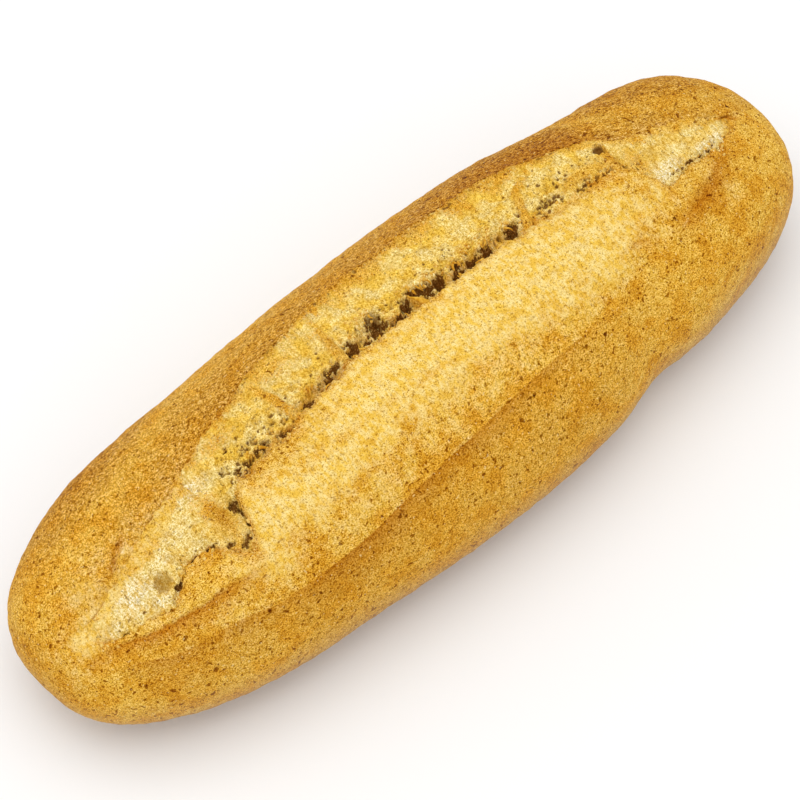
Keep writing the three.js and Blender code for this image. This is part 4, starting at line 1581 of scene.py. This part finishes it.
class LOAF_OT_crumbs(bpy.types.Operator):
    """Build the loose crumbs that cling to the torn edges"""

    bl_idname = "loaf.crumbs"
    bl_label = "Loose crumbs"

    def execute(self, context):
        look = context.scene.loaf_crumbs
        draw = np.random.default_rng(LUMP_SEED)
        points, _, split, _ = crumb_grid()
        share = np.linspace(CRUMB_START, CRUMB_END, CRUMB_COLUMNS)[None]
        depth, mouth, torn, opened = columns_of(split, "depth", "mouth", "torn", "open")
        past, spread = CLING_MOUTH
        weights = bell(share, past * np.maximum(mouth, LEAST_MOUTH) / torn, spread)
        weights = weights * np.clip(depth / CLING_DEPTH, CLING_LEAST, 1)
        weights = (weights + CLING_LIP_SHARE * bell(share, *CLING_LIP)) * opened * (share > 0)
        half = look.count // 2
        inner = clinging(points, grid_normals(points), weights, half, draw)
        skin, skin_zones = crust_grid()
        normals = grid_normals(skin, around=True)
        outer = clinging(skin, normals, skin_zones["fringe"], look.count - half, draw)
        places, normals = (np.concatenate(pair) for pair in zip(inner, outer))
        radii = look.size / MM / 2 * draw.uniform(*LUMP_RADII, look.count) ** LUMP_SKEW
        flat, faces = lumps(places, normals, radii, draw)
        flat[:, 1] += middle_shift()
        place_piece(mesh_object("crumbs", flat, faces, {}, crumbs_finish(look)))
        return {"FINISHED"}


class LOAF_OT_stage(bpy.types.Operator):
    """Set up the floor, the lamp, the sky and the camera"""

    bl_idname = "loaf.stage"
    bl_label = "Stage"

    def execute(self, context):
        look = context.scene.loaf_stage
        self.lay_floor(look)
        self.hang_lamp(look)
        self.light_sky(context.scene, look)
        self.aim_camera(context.scene, look)
        return {"FINISHED"}

    def lay_floor(self, look):
        mesh = bpy.data.meshes.new("floor")
        corners = [(x * FLOOR_HALF, y * FLOOR_HALF, 0) for x, y in ((-1, -1), (1, -1), (1, 1), (-1, 1))]
        mesh.from_pydata(corners, [], [(0, 1, 2, 3)])
        surface = Finish("Pale floor", specular=0.0)
        surface.colour(look.floor)
        surface.rough(1.0)
        mesh.materials.append(surface.material)
        floor = add_object("floor", mesh)
        floor.location.z = -FLOOR_DROP

    def hang_lamp(self, look):
        light = bpy.data.lights.new("soft lamp", "AREA")
        light.shape = "SQUARE"
        light.size = LAMP_SIZE
        light.energy = look.lamp_power
        lamp = add_object("soft lamp", light)
        lamp.location = LAMP_PLACE
        lamp.rotation_euler = (Vector(LAMP_AIM) - lamp.location).to_track_quat("-Z", "Y").to_euler()

    def light_sky(self, scene, look):
        sky = bpy.data.worlds.new("pale sky")
        sky.use_nodes = True
        light = sky.node_tree.nodes["Background"].inputs
        light["Color"].default_value = (1, 1, 1, 1)
        light["Strength"].default_value = look.sky
        scene.world = sky
        scene.view_settings.view_transform = "Standard"

    def aim_camera(self, scene, look):
        lens = bpy.data.cameras.new("camera")
        lens.lens = look.lens
        lens.sensor_width = SENSOR_WIDTH
        camera = add_object("camera", lens)
        level = math.cos(look.elevation)
        turn = look.azimuth
        back = Vector((math.sin(turn) * level, -math.cos(turn) * level, math.sin(look.elevation)))
        camera.location = Vector(AIM) * MM + back * look.distance
        camera.rotation_euler = back.to_track_quat("Z", "Y").to_euler()
        scene.camera = camera


class LOAF_PT_panel(bpy.types.Panel):
    """Pieces of the loaf and their looks"""

    bl_label = "Whole Wheat Loaf"
    bl_idname = "LOAF_PT_panel"
    bl_space_type = "VIEW_3D"
    bl_region_type = "UI"
    bl_category = "Loaf"

    def draw(self, context):
        for name, group in LOOKS:
            box = self.layout.box()
            box.operator(f"loaf.{name}")
            look = getattr(context.scene, f"loaf_{name}")
            for key in group.__annotations__:
                box.prop(look, key)


LOOKS = (
    ("crust", CrustLook),
    ("crumb", CrumbLook),
    ("strands", StrandLook),
    ("crumbs", CrumbsLook),
    ("stage", StageLook),
)
OPERATORS = (LOAF_OT_crust, LOAF_OT_crumb, LOAF_OT_strands, LOAF_OT_crumbs, LOAF_OT_stage)


def register():
    for name, group in LOOKS:
        bpy.utils.register_class(group)
        setattr(bpy.types.Scene, f"loaf_{name}", PointerProperty(type=group))
    for kind in (*OPERATORS, LOAF_PT_panel):
        bpy.utils.register_class(kind)


def unregister():
    for kind in reversed((*OPERATORS, LOAF_PT_panel)):
        bpy.utils.unregister_class(kind)
    for name, group in reversed(LOOKS):
        delattr(bpy.types.Scene, f"loaf_{name}")
        bpy.utils.unregister_class(group)


def main():
    register()
    bpy.ops.loaf.crust()
    bpy.ops.loaf.crumb()
    bpy.ops.loaf.strands()
    bpy.ops.loaf.crumbs()
    bpy.ops.loaf.stage()


if __name__ == "__main__":
    main()
